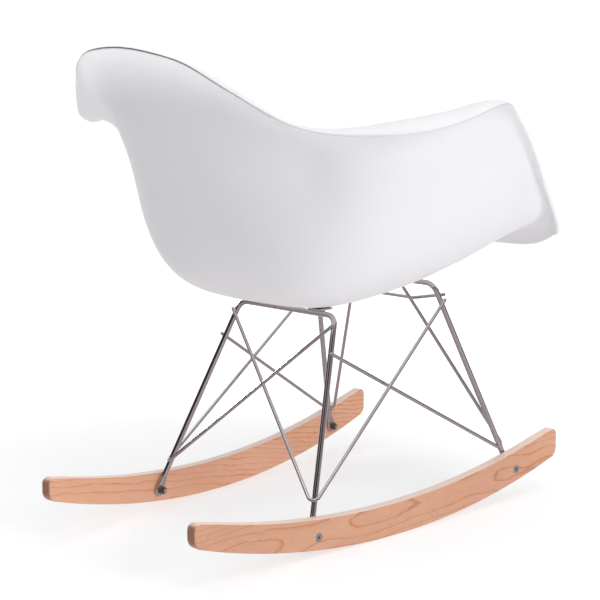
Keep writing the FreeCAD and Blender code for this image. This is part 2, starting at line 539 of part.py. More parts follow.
def between(x, table):
    xs, ys = table
    for a, b, p, q in zip(xs, xs[1:], ys, ys[1:]):
        if x <= b:
            return p + (q - p) * (max(x, a) - a) / (b - a)
    return ys[-1]


wall = dim("shell_wall")
outer_net, inner_net = [], []
for i in range(ROWS):
    o_row, n_row = [], []
    for j in range(2 * COLS - 1):
        w = max(between(0.5 + abs(gv[j] - 0.5), OFF_V), between(gu[i], OFF_U))
        n = up_normal(i, j) * flip
        if j == centre_col:
            n = Vec(0, n.y, n.z).normalize()
        o = base[i][j] - n * (wall * w)
        o_row.append(o)
        n_row.append(o + n * wall)
    outer_net.append(o_row)
    inner_net.append(n_row)
for net in (outer_net, inner_net):
    for i in range(ROWS):
        for j in range(centre_col):
            m = net[i][2 * centre_col - j]
            net[i][j] = Vec(-m.x, m.y, m.z)
outer, inner = surface(outer_net), surface(inner_net)


def border(srf):
    return [srf.vIso(0.0), srf.uIso(1.0), srf.vIso(1.0), srf.uIso(0.0)]


faces = [outer.toShape(), inner.toShape()]
for a, b in zip(border(outer), border(inner)):
    faces.append(Part.makeRuledSurface(a.toShape(), b.toShape()))
skin = Part.makeShell(faces)
skin.sewShape()
solid = Part.makeSolid(skin)
if solid.Volume < 0:
    solid.reverse()


def shell_z(srf, x, y):
    """Height of a surface of the shell above a point of the floor plan."""
    line = Part.makeLine(Vec(x, y, 200), Vec(x, y, 480))
    hits = line.distToShape(srf.toShape())
    return hits[1][0][1].z


# round bosses under the seat take the threaded inserts
mounts = []
for fr, yb, zb_, shift in (("rear", dim("rear_bar_y"), dim("rear_bar_z"), -13.0),
                           ("front", dim("front_bar_y"), dim("front_bar_z"), 13.0)):
    for tag, s in (("right", -1.0), ("left", 1.0)):
        x, y = s * dim("mount_half"), yb + shift
        tab_top = zb_ + dim("leg_rod_dia") / 2.0 + dim("tab_thick") - 0.6
        mounts.append((fr, tag, x, y, yb, tab_top, shell_z(outer, x, y), shell_z(inner, x, y)))

above = inner.toShape()
above.translate(Vec(0, 0, -1.5))
above = above.extrude(Vec(0, 0, 90.0))
tools = []
for fr, tag, x, y, yb, tab_top, z_out, z_in in mounts:
    low = tab_top + (3.2 if z_out - tab_top > 4.0 else 2.4)
    boss = Part.makeCylinder(15.0, 40.0, Vec(x, y, low)).cut(above)
    boss = boss.Solids[0]
    solid = solid.fuse(boss).Solids[0]
    tools.append(Part.makeCylinder(4.5, z_in - 2.6 - low + 2.0, Vec(x, y, low - 2.0)))
for tool in tools:
    solid = solid.cut(tool).Solids[0]
shell = doc.addObject("Part::Feature", "seat_shell")
shell.Shape = solid
shell.Placement = FreeCAD.Placement()
keep(shell, "seat_shell")

for fr, tag, x, y, yb, tab_top, z_out, z_in in mounts:
    low = tab_top + (3.2 if z_out - tab_top > 4.0 else 2.4)
    at = lambda z: FreeCAD.Placement(Vec(x, y, z), FreeCAD.Rotation())
    lab = "mount_insert_%s_%s" % (fr, tag)
    depth = z_in - 2.6 - low
    ins = cut(lab, cylinder(lab + "_body", "4.5", str(depth)),
              cylinder(lab + "_bore", "Dims.screw_dia / 2", str(depth + 2), -1.0))
    ins.Placement = at(low)
    keep(ins, lab)
    lab = "mount_spacer_%s_%s" % (fr, tag)
    sp = cut(lab, cylinder(lab + "_disc", "Dims.spacer_dia / 2", str(low - tab_top)),
             cylinder(lab + "_hole", "Dims.screw_dia / 2 + 0.3", str(low - tab_top + 2), -1.0))
    sp.Placement = at(tab_top)
    keep(sp, lab)
    lab = "mount_tab_%s_%s" % (fr, tag)
    box = doc.addObject("Part::Box", lab + "_plate")
    box.setExpression("Length", "Dims.tab_wide")
    box.setExpression("Width", "Dims.tab_long")
    box.setExpression("Height", "Dims.tab_thick")
    fwd = -1.0 if fr == "rear" else 1.0
    y0 = -dim("tab_long") / 2.0 + (-2.5 if fwd > 0 else 2.5)
    box.Placement = FreeCAD.Placement(Vec(-dim("tab_wide") / 2.0, y0, 0), FreeCAD.Rotation())
    tab = cut(lab, box, cylinder(lab + "_hole", "Dims.screw_dia / 2 + 0.3", "Dims.tab_thick + 2", -1.0))
    tab.Placement = at(tab_top - dim("tab_thick"))
    keep(tab, lab)
    lab = "mount_washer_%s_%s" % (fr, tag)
    w = cut(lab, cylinder(lab + "_disc", "6", "1.2"),
            cylinder(lab + "_hole", "Dims.screw_dia / 2 + 0.3", "3", -1.0))
    w.Placement = at(tab_top - dim("tab_thick") - 1.2)
    keep(w, lab)
    lab = "mount_screw_%s_%s" % (fr, tag)
    reach = dim("tab_thick") + 1.2 + (low - tab_top) + max(depth - 1.5, 2.0)
    shank = cylinder(lab + "_shank", "Dims.screw_dia / 2", str(reach), 0.0)
    head = cylinder(lab + "_head", "5.2", "3.4", -3.4)
    key = prism(lab + "_key", "Dims.socket_flats", "2.6", -3.9)
    sc = cut(lab, fuse(lab + "_whole", [shank, head]), key)
    sc.Placement = at(tab_top - dim("tab_thick") - 1.2)
    keep(sc, lab)

doc.recompute()

# -------------------------------------------------------------------- export
problems = []
for obj in doc.Objects:
    if "Invalid" in obj.State or "Error" in obj.State:
        problems.append("%s: %s" % (obj.Name, obj.State))
for obj in parts:
    if obj.Shape.isNull() or not obj.Shape.isValid():
        problems.append("%s: shape not valid" % obj.Label)
    elif len(obj.Shape.Solids) != 1:
        problems.append("%s: %d solids" % (obj.Label, len(obj.Shape.Solids)))
if problems:
    raise RuntimeError("; ".join(problems))
for obj in parts:
    obj.Shape.exportStep("parts/%s.step" % obj.Label)
print("exported %d parts" % len(parts))
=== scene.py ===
import bpy
import bmesh
import math
import numpy as np
from mathutils import Matrix, Vector


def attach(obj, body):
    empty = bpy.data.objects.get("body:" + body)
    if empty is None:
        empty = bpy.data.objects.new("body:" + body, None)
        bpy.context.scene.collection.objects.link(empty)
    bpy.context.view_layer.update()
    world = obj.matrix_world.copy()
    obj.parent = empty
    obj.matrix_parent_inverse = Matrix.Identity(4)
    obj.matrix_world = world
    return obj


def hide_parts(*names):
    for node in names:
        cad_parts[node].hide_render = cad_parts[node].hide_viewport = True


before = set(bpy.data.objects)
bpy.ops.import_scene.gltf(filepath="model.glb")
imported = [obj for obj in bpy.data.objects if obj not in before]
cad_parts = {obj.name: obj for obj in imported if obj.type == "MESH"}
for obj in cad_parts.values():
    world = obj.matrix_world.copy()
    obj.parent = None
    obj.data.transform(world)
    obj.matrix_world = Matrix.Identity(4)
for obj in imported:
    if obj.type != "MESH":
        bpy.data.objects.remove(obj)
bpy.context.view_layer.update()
MM = 0.001
TOE = 0.07
TOE_ANGLE = math.atan(TOE)


# ------------------------------------------------------------ mesh helpers
def new_object(name, verts, faces, mats, smooth=True, mat_index=None):
    me = bpy.data.meshes.new(name)
    me.from_pydata([tuple(v) for v in verts], [], [tuple(f) for f in faces])
    for m in mats:
        me.materials.append(m)
    if mat_index is not None:
        me.polygons.foreach_set("material_index", mat_index)
    me.polygons.foreach_set("use_smooth", [smooth] * len(me.polygons))
    me.update()
    ob = bpy.data.objects.new(name, me)
    bpy.context.scene.collection.objects.link(ob)
    return ob


def weld(ob, dist=1e-5):
    bm = bmesh.new()
    bm.from_mesh(ob.data)
    bmesh.ops.remove_doubles(bm, verts=bm.verts, dist=dist)
    bmesh.ops.recalc_face_normals(bm, faces=bm.faces)
    bm.to_mesh(ob.data)
    bm.free()
    ob.data.update()


def unit(v):
    v = np.array(v, float)
    return v / np.linalg.norm(v)


def bent_line(pts, bend, seg=10):
    """Points of straight runs joined by arcs of that radius."""
    pts = [np.array(p, float) for p in pts]
    out = [pts[0]]
    for i in range(1, len(pts) - 1):
        a, b, c = pts[i - 1], pts[i], pts[i + 1]
        u, w = unit(a - b), unit(c - b)
        half = math.acos(max(-1.0, min(1.0, float(u @ w)))) / 2.0
        back = bend / math.tan(half)
        centre = b + unit(u + w) * (bend / math.sin(half))
        t1, t2 = b + u * back - centre, b + w * back - centre
        sweep = math.acos(max(-1.0, min(1.0, float(unit(t1) @ unit(t2)))))
        for k in range(seg + 1):
            t = k / seg
            q = (math.sin((1 - t) * sweep) * t1 + math.sin(t * sweep) * t2) / math.sin(sweep)
            out.append(centre + q)
    out.append(pts[-1])
    return out


def split_runs(line, step):
    """The same line with long runs cut into pieces no longer than step."""
    out = [line[0]]
    for a, b in zip(line[:-1], line[1:]):
        n = max(1, int(np.linalg.norm(b - a) // step))
        for k in range(1, n + 1):
            out.append(a + (b - a) * (k / n))
    return out


def tangents(line):
    t = []
    for i in range(len(line)):
        a, b = line[max(0, i - 1)], line[min(len(line) - 1, i + 1)]
        t.append(unit(b - a))
    return t


def carried(line, first):
    """Frames along a line without twist, starting near the direction first."""
    t = tangents(line)
    s = unit(first - t[0] * float(np.dot(first, t[0])))
    out = [s]
    for i in range(1, len(line)):
        s = s - t[i] * float(np.dot(s, t[i]))
        s = unit(s)
        out.append(s)
    return t, out


def rings_to_faces(count, seg, base=0, closed=False):
    faces = []
    for i in range(count - 1 + (1 if closed else 0)):
        a, b = base + i * seg, base + ((i + 1) % count) * seg
        for k in range(seg):
            k2 = (k + 1) % seg
            faces.append((a + k, a + k2, b + k2, b + k))
    return faces


def wire(name, pts, dia, bend, mats, seg=20):
    """Round wire with slightly domed, edge-broken ends."""
    line = split_runs(bent_line(pts, bend), 45.0)
    r = dia / 2.0
    t, s = carried(line, np.array([0.31, 0.52, 0.79]))
    verts, rings = [], 0
    stations = []
    d0, d1 = line[0], line[-1]
    for k, (back, frac) in enumerate(((0.0, 0.52), (0.10, 0.80), (0.32, 0.95), (0.62, 1.0))):
        stations.append((d0 + t[0] * back * r, t[0], s[0], frac))
    for i in range(1, len(line) - 1):
        stations.append((line[i], t[i], s[i], 1.0))
    for back, frac in ((0.62, 1.0), (0.32, 0.95), (0.10, 0.80), (0.0, 0.52)):
        stations.append((d1 - t[-1] * back * r, t[-1], s[-1], frac))
    for c, tt, ss, f in stations:
        w = np.cross(tt, ss)
        for k in range(seg):
            a = 2 * math.pi * k / seg
            verts.append((c + (ss * math.cos(a) + w * math.sin(a)) * r * f) * MM)
        rings += 1
    faces = rings_to_faces(rings, seg)
    n = len(verts)
    verts.append(d0 * MM)
    verts.append(d1 * MM)
    for k in range(seg):
        faces.append((n, (k + 1) % seg, k))
        last = (rings - 1) * seg
        faces.append((n + 1, last + k, last + (k + 1) % seg))
    ob = new_object(name, verts, faces, mats)
    weld(ob)
    return ob


def lathe(name, profile, at, axis, mats, seg=48, wobble=0.0):
    """Turned piece: profile of (radius, height) pairs, in mm, about an axis."""
    z = unit(axis)
    x = unit(np.cross(z, [0.31, 0.9, 0.2]))
    y = np.cross(z, x)
    verts, faces = [], []
    for r, h in profile:
        for k in range(seg):
            a = 2 * math.pi * k / seg
            rr = max(r, 1e-4) * (1 + wobble * math.sin(3 * a + h))
            verts.append((np.array(at) + z * h + (x * math.cos(a) + y * math.sin(a)) * rr) * MM)
    faces = rings_to_faces(len(profile), seg)
    ob = new_object(name, verts, faces, mats)
    weld(ob, 2e-6)
    return ob


# --------------------------------------------------------------- materials
def material(name):
    m = bpy.data.materials.new(name)
    m.use_nodes = True
    nt = m.node_tree
    b = nt.nodes.get("Principled BSDF")
    return m, nt, b


def node(nt, kind, **values):
    n = nt.nodes.new(kind)
    for k, v in values.items():
        if k.startswith("_"):
            setattr(n, k[1:], v)
        else:
            n.inputs[k.replace("__", " ")].default_value = v
    return n


def link(nt, a, b):
    nt.links.new(a, b)


def noise(nt, vec, scale, detail=2.0, rough=0.5, distort=0.0, dims="3D"):
    n = nt.nodes.new("ShaderNodeTexNoise")
    n.noise_dimensions = dims
    n.inputs["Scale"].default_value = scale
    n.inputs["Detail"].default_value = detail
    n.inputs["Roughness"].default_value = rough
    n.inputs["Distortion"].default_value = distort
    if vec is not None:
        link(nt, vec, n.inputs["Vector"])
    return n.outputs["Fac"] if "Fac" in n.outputs else n.outputs[0]


def maths(nt, op, a, b=None, c=None, clamp=False):
    n = nt.nodes.new("ShaderNodeMath")
    n.operation = op
    n.use_clamp = clamp
    for i, v in enumerate((a, b, c)):
        if v is None:
            continue
        if isinstance(v, (int, float)):
            n.inputs[i].default_value = v
        else:
            link(nt, v, n.inputs[i])
    return n.outputs[0]


def ramp(nt, fac, stops, interp="LINEAR"):
    n = nt.nodes.new("ShaderNodeValToRGB")
    n.color_ramp.interpolation = interp
    els = n.color_ramp.elements
    while len(els) < len(stops):
        els.new(0.5)
    for e, (p, c) in zip(els, stops):
        e.position = p
        e.color = (c[0], c[1], c[2], 1.0) if len(c) == 3 else c
    link(nt, fac, n.inputs[0])
    return n.outputs[0]


def mix(nt, fac, a, b, blend="MIX"):
    n = nt.nodes.new("ShaderNodeMix")
    n.data_type = "RGBA"
    n.blend_type = blend
    n.clamp_factor = True
    for sock, v in ((n.inputs[0], fac), (n.inputs[6], a), (n.inputs[7], b)):
        if isinstance(v, (int, float)):
            sock.default_value = v
        elif isinstance(v, tuple):
            sock.default_value = (v[0], v[1], v[2], 1.0)
        else:
            link(nt, v, sock)
    return n.outputs[2]


def bump(nt, height, strength, dist, bsdf):
    n = nt.nodes.new("ShaderNodeBump")
    n.inputs["Strength"].default_value = strength
    n.inputs["Distance"].default_value = dist
    link(nt, height, n.inputs["Height"])
    link(nt, n.outputs[0], bsdf.inputs["Normal"])


def coords(nt, kind="Object"):
    n = nt.nodes.new("ShaderNodeTexCoord")
    return n.outputs[kind]


def plastic_material(name, tint, lo, hi, grain=1.0, painted_light_on_back_top=None):
    """Satin moulded polymer: faint cloudiness, fine mould texture."""
    m, nt, b = material(name)
    p = coords(nt)
    cloud = noise(nt, p, 7.0, 3.0, 0.55)
    col = ramp(nt, cloud, [(0.25, tuple(c * 0.985 for c in tint)), (0.75, tint)])
    if painted_light_on_back_top:
        # painted light: the outer face near the top of the back, where it faces rearwards, is mixed towards a lighter
        # colour, standing in for light that falls there
        sep = nt.nodes.new("ShaderNodeSeparateXYZ")
        link(nt, p, sep.inputs[0])
        up = nt.nodes.new("ShaderNodeMapRange")
        up.interpolation_type = "SMOOTHSTEP"
        up.inputs["From Min"].default_value = 0.585
        up.inputs["From Max"].default_value = 0.665
        link(nt, sep.outputs[2], up.inputs["Value"])
        face = nt.nodes.new("ShaderNodeNewGeometry")
        way = nt.nodes.new("ShaderNodeSeparateXYZ")
        link(nt, face.outputs["Normal"], way.inputs[0])
        rear = nt.nodes.new("ShaderNodeMapRange")
        rear.interpolation_type = "SMOOTHSTEP"
        rear.inputs["From Min"].default_value = -0.1
        rear.inputs["From Max"].default_value = 0.5
        link(nt, way.outputs[1], rear.inputs["Value"])
        col = mix(nt, maths(nt, "MULTIPLY", up.outputs[0], rear.outputs[0]), col, painted_light_on_back_top)
    link(nt, col, b.inputs["Base Color"])
    fine = noise(nt, p, 1400.0, 2.0, 0.6)
    patch = noise(nt, p, 22.0, 3.0, 0.6)
    mixed = maths(nt, "ADD", maths(nt, "MULTIPLY", patch, 0.7), maths(nt, "MULTIPLY", fine, 0.3))
    r = nt.nodes.new("ShaderNodeMapRange")
    r.inputs["To Min"].default_value = lo
    r.inputs["To Max"].default_value = hi
    link(nt, mixed, r.inputs["Value"])
    link(nt, r.outputs[0], b.inputs["Roughness"])
    b.inputs["Specular IOR Level"].default_value = 0.42
    b.inputs["IOR"].default_value = 1.49
    bump(nt, fine, 0.10 * grain, 0.0002, b)
    return m


def rim_edge_painted_shade_material(name):
    """The rim as trimmed from the mould and sanded, with painted shade: its colour darkens with height
    and is darkest along the top of the back."""
    m, nt, b = material(name)
    p = coords(nt)
    sep = nt.nodes.new("ShaderNodeSeparateXYZ")
    link(nt, p, sep.inputs[0])
    shade_jitter = noise(nt, p, 60.0, 3.0, 0.6)
    # painted shade: the edge colour darkens with height, standing in for the shade on the rim's edge face; a noise
    # wavers the boundary
    z = maths(nt, "ADD", sep.outputs[2], maths(nt, "MULTIPLY", maths(nt, "SUBTRACT", shade_jitter, 0.5), 0.012))
    t = nt.nodes.new("ShaderNodeMapRange")
    t.inputs["From Min"].default_value = 0.50
    t.inputs["From Max"].default_value = 0.68
    link(nt, z, t.inputs["Value"])
    col = ramp(nt, t.outputs[0], [(0.10, (0.80, 0.792, 0.812)), (0.45, (0.62, 0.612, 0.63)), (0.72, (0.40, 0.395, 0.41)),
                                  (0.90, (0.14, 0.137, 0.145)), (1.0, (0.11, 0.108, 0.115))])
    link(nt, col, b.inputs["Base Color"])
    grit = noise(nt, p, 900.0, 2.0, 0.6)
    r = nt.nodes.new("ShaderNodeMapRange")
    r.inputs["To Min"].default_value = 0.48
    r.inputs["To Max"].default_value = 0.64
    link(nt, grit, r.inputs["Value"])
    link(nt, r.outputs[0], b.inputs["Roughness"])
    bump(nt, grit, 0.2, 0.0002, b)
    return m


def chrome_material(name, tint, rough):
    """Plated rod: a faint drawn texture and small changes in gloss."""
    m, nt, b = material(name)
    p = coords(nt)
    stain = noise(nt, p, 40.0, 3.0, 0.6)
    col = ramp(nt, stain, [(0.3, tuple(c * 0.93 for c in tint)), (0.7, tint)])
    link(nt, col, b.inputs["Base Color"])
    b.inputs["Metallic"].default_value = 1.0
    fine = noise(nt, p, 600.0, 2.0, 0.5)
    r = nt.nodes.new("ShaderNodeMapRange")
    r.inputs["To Min"].default_value = rough * 0.7
    r.inputs["To Max"].default_value = rough * 1.4
    link(nt, fine, r.inputs["Value"])
    link(nt, r.outputs[0], b.inputs["Roughness"])
    bump(nt, fine, 0.04, 0.0001, b)
    return m


def steel_material(name, tint, rough):
    m, nt, b = material(name)
    p = coords(nt)
    worn = noise(nt, p, 260.0, 4.0, 0.65)
    col = ramp(nt, worn, [(0.25, tuple(c * 0.7 for c in tint)), (0.75, tint)])
    link(nt, col, b.inputs["Base Color"])
    b.inputs["Metallic"].default_value = 1.0
    r = nt.nodes.new("ShaderNodeMapRange")
    r.inputs["To Min"].default_value = rough * 0.75
    r.inputs["To Max"].default_value = rough * 1.3
    link(nt, worn, r.inputs["Value"])
    link(nt, r.outputs[0], b.inputs["Roughness"])
    bump(nt, noise(nt, p, 900.0, 2.0), 0.06, 0.0001, b)
    return m


def rubber_material(name):
    m, nt, b = material(name)
    p = coords(nt)
    dust = noise(nt, p, 90.0, 4.0, 0.6)
    col = ramp(nt, dust, [(0.3, (0.012, 0.012, 0.013)), (0.8, (0.030, 0.029, 0.029))])
    link(nt, col, b.inputs["Base Color"])
    r = nt.nodes.new("ShaderNodeMapRange")
    r.inputs["To Min"].default_value = 0.55
    r.inputs["To Max"].default_value = 0.8
    link(nt, dust, r.inputs["Value"])
    link(nt, r.outputs[0], b.inputs["Roughness"])
    bump(nt, noise(nt, p, 700.0, 2.0), 0.2, 0.0002, b)
    return m


def wood_material(name, centre_h, depth, tilt, waves, seed, figure, painted_light_gain=1.0):
    """Flat-sawn maple. Object axes: x through the plank, y along it, z up.

    Growth rings are shells round a line that runs along the plank at some
    depth under the face; its depth wanders, which draws the long closed
    figures on the face. The lines run straight along the board, so they
    leave the curved edges at an angle."""
    m, nt, b = material(name)
    p = coords(nt)
    sep = nt.nodes.new("ShaderNodeSeparateXYZ")
    link(nt, p, sep.inputs[0])
    x, y, z = sep.outputs
    # board axes: the board's own length is tilted against the plank
    along = maths(nt, "ADD", maths(nt, "MULTIPLY", y, math.cos(tilt)), maths(nt, "MULTIPLY", z, math.sin(tilt)))
    across = maths(nt, "SUBTRACT", maths(nt, "MULTIPLY", z, math.cos(tilt)), maths(nt, "MULTIPLY", y, math.sin(tilt)))
    comb = nt.nodes.new("ShaderNodeCombineXYZ")
    link(nt, maths(nt, "ADD", along, seed), comb.inputs[0])
    comb.inputs[1].default_value = seed * 1.7
    comb.inputs[2].default_value = seed * 0.3
    drift = noise(nt, comb.outputs[0], waves, 1.5, 0.45)
    # small wander of the rings in all directions, drawn out along the board
    comb2 = nt.nodes.new("ShaderNodeCombineXYZ")
    link(nt, maths(nt, "MULTIPLY", along, 0.30), comb2.inputs[0])
    link(nt, maths(nt, "ADD", across, seed), comb2.inputs[1])
    link(nt, x, comb2.inputs[2])
    wander = noise(nt, comb2.outputs[0], 42.0, 3.0, 0.55)
    wander2 = noise(nt, comb2.outputs[0], 130.0, 2.0, 0.5)
    h = maths(nt, "SUBTRACT", across, centre_h)
    h = maths(nt, "ADD", h, maths(nt, "MULTIPLY", maths(nt, "SUBTRACT", wander, 0.5), 0.016))
    dd = maths(nt, "ADD", maths(nt, "MULTIPLY", x, 1.0), depth)
    dd = maths(nt, "ADD", dd, maths(nt, "MULTIPLY", maths(nt, "SUBTRACT", drift, 0.5), figure))
    rr = maths(nt, "SQRT", maths(nt, "ADD", maths(nt, "MULTIPLY", h, h), maths(nt, "MULTIPLY", dd, dd)))
    rr = maths(nt, "ADD", rr, maths(nt, "MULTIPLY", maths(nt, "SUBTRACT", wander2, 0.5), 0.0016))
    ring = maths(nt, "FRACT", maths(nt, "MULTIPLY", rr, 1.0 / 0.0072))
    ring2 = maths(nt, "FRACT", maths(nt, "MULTIPLY", rr, 1.0 / 0.0019))
    # fine fibres
    comb3 = nt.nodes.new("ShaderNodeCombineXYZ")
    link(nt, maths(nt, "MULTIPLY", along, 0.05), comb3.inputs[0])
    link(nt, maths(nt, "ADD", across, seed * 0.7), comb3.inputs[1])
    link(nt, x, comb3.inputs[2])
    fibre = noise(nt, comb3.outputs[0], 900.0, 3.0, 0.65)
    comb4 = nt.nodes.new("ShaderNodeCombineXYZ")
    link(nt, maths(nt, "MULTIPLY", along, 0.25), comb4.inputs[0])
    link(nt, across, comb4.inputs[1])
    link(nt, x, comb4.inputs[2])
    fleck = noise(nt, comb4.outputs[0], 520.0, 1.0, 0.4)
    cloud = noise(nt, comb2.outputs[0], 14.0, 3.0, 0.5)
    # the base colours are scaled by the last argument: painted light that brightens a plank getting less light
    light = tuple(c * painted_light_gain for c in (0.715, 0.390, 0.255))
    mid = tuple(c * painted_light_gain for c in (0.638, 0.326, 0.206))
    base = ramp(nt, cloud, [(0.3, mid), (0.7, light)])
    # early wood darkens slowly towards the narrow late-wood line
    soft = ramp(nt, ring, [(0.0, (0.98, 0.975, 0.97)), (0.12, (1, 1, 1)), (0.80, (0.975, 0.96, 0.94)),
                           (0.88, (0.94, 0.90, 0.86)), (0.915, (0.79, 0.65, 0.52)), (0.94, (0.77, 0.62, 0.49)), (1.0, (0.98, 0.975, 0.97))])
    col = mix(nt, 0.95, base, soft, "MULTIPLY")
    soft2 = ramp(nt, ring2, [(0.0, (1, 1, 1)), (0.75, (0.97, 0.955, 0.935)), (0.95, (0.90, 0.86, 0.81)), (1.0, (1, 1, 1))])
    col = mix(nt, 0.3, col, soft2, "MULTIPLY")
    fib = ramp(nt, fibre, [(0.25, (0.90, 0.87, 0.83)), (0.62, (1.02, 1.02, 1.02))])
    col = mix(nt, 0.75, col, fib, "MULTIPLY")
    fl = ramp(nt, fleck, [(0.60, (1, 1, 1)), (0.72, (0.90, 0.84, 0.77))])
    col = mix(nt, 0.6, col, fl, "MULTIPLY")
    # warm mineral streaks that follow the late-wood lines
    streak = noise(nt, comb2.outputs[0], 30.0, 3.0, 0.6)
    sm = ramp(nt, streak, [(0.51, (0, 0, 0)), (0.57, (1, 1, 1))])
    near_line = ramp(nt, ring, [(0.72, (0, 0, 0)), (0.92, (1, 1, 1)), (1.0, (0.2, 0.2, 0.2))])
    both = maths(nt, "MULTIPLY", sm, near_line)
    col = mix(nt, maths(nt, "MULTIPLY", both, 0.85), col, (0.62, 0.225, 0.070))
    # end grain is darker and shows the rings as tight bands
    geo = nt.nodes.new("ShaderNodeNewGeometry")
    vt = nt.nodes.new("ShaderNodeVectorTransform")
    vt.vector_type = "NORMAL"
    vt.convert_from = "WORLD"
    vt.convert_to = "OBJECT"
    link(nt, geo.outputs["Normal"], vt.inputs[0])
    sn = nt.nodes.new("ShaderNodeSeparateXYZ")
    link(nt, vt.outputs[0], sn.inputs[0])
    endness = maths(nt, "POWER", maths(nt, "ABSOLUTE", sn.outputs[1]), 3.0)
    bands = maths(nt, "FRACT", maths(nt, "MULTIPLY", maths(nt, "ADD", x, maths(nt, "MULTIPLY", maths(nt, "SUBTRACT", wander, 0.5), 0.003)), 1.0 / 0.0036))
    endc = ramp(nt, bands, [(0.0, (0.34, 0.150, 0.082)), (0.55, (0.42, 0.200, 0.115)), (0.92, (0.24, 0.095, 0.050)), (1.0, (0.34, 0.150, 0.082))])
    # painted light: faces that look up are mixed towards a pale colour, standing in for the light and reflection they
    # catch from above
    top_painted_mask = nt.nodes.new("ShaderNodeMapRange")
    top_painted_mask.interpolation_type = "SMOOTHSTEP"
    top_painted_mask.inputs["From Min"].default_value = 0.55
    top_painted_mask.inputs["From Max"].default_value = 0.88
    link(nt, sn.outputs[2], top_painted_mask.inputs["Value"])
    top_painted_light = mix(nt, 0.75, col, (0.97, 0.80, 0.70))
    col = mix(nt, top_painted_mask.outputs[0], col, top_painted_light)
    col = mix(nt, endness, col, endc)
    link(nt, col, b.inputs["Base Color"])
    r = nt.nodes.new("ShaderNodeMapRange")
    r.inputs["To Min"].default_value = 0.30
    r.inputs["To Max"].default_value = 0.44
    link(nt, fibre, r.inputs["Value"])
    link(nt, r.outputs[0], b.inputs["Roughness"])
    b.inputs["Specular IOR Level"].default_value = 0.5
    b.inputs["Coat Weight"].default_value = 0.25
    b.inputs["Coat Roughness"].default_value = 0.22
    bump(nt, fibre, 0.12, 0.00025, b)
    return m


# the shell's last colour is painted light on the rear face near the top of the back
shell_mat = plastic_material("shell_plastic_satin", (0.800, 0.792, 0.815), 0.36, 0.47, painted_light_on_back_top=(0.965, 0.955, 0.975))
edge_mat = rim_edge_painted_shade_material("shell_edge_painted_shade")
chrome = chrome_material("chrome_plated_rod", (0.62, 0.585, 0.595), 0.085)
bright_steel = steel_material("zinc_steel", (0.62, 0.60, 0.60), 0.26)
dark_steel = steel_material("blackened_steel", (0.20, 0.175, 0.17), 0.30)
brass = steel_material("brass_insert", (0.72, 0.50, 0.22), 0.30)
rubber = rubber_material("spacer_rubber_black")
wood_near = wood_material("maple_near", 0.038, 0.012, 0.030, 5.2, 3.31, 0.030)
# painted light: the far plank's colours are raised by a fifth, standing in for the light it lacks
wood_far = wood_material("maple_far", -0.016, 0.030, 0.165, 3.0, 8.87, 0.016, 1.2)

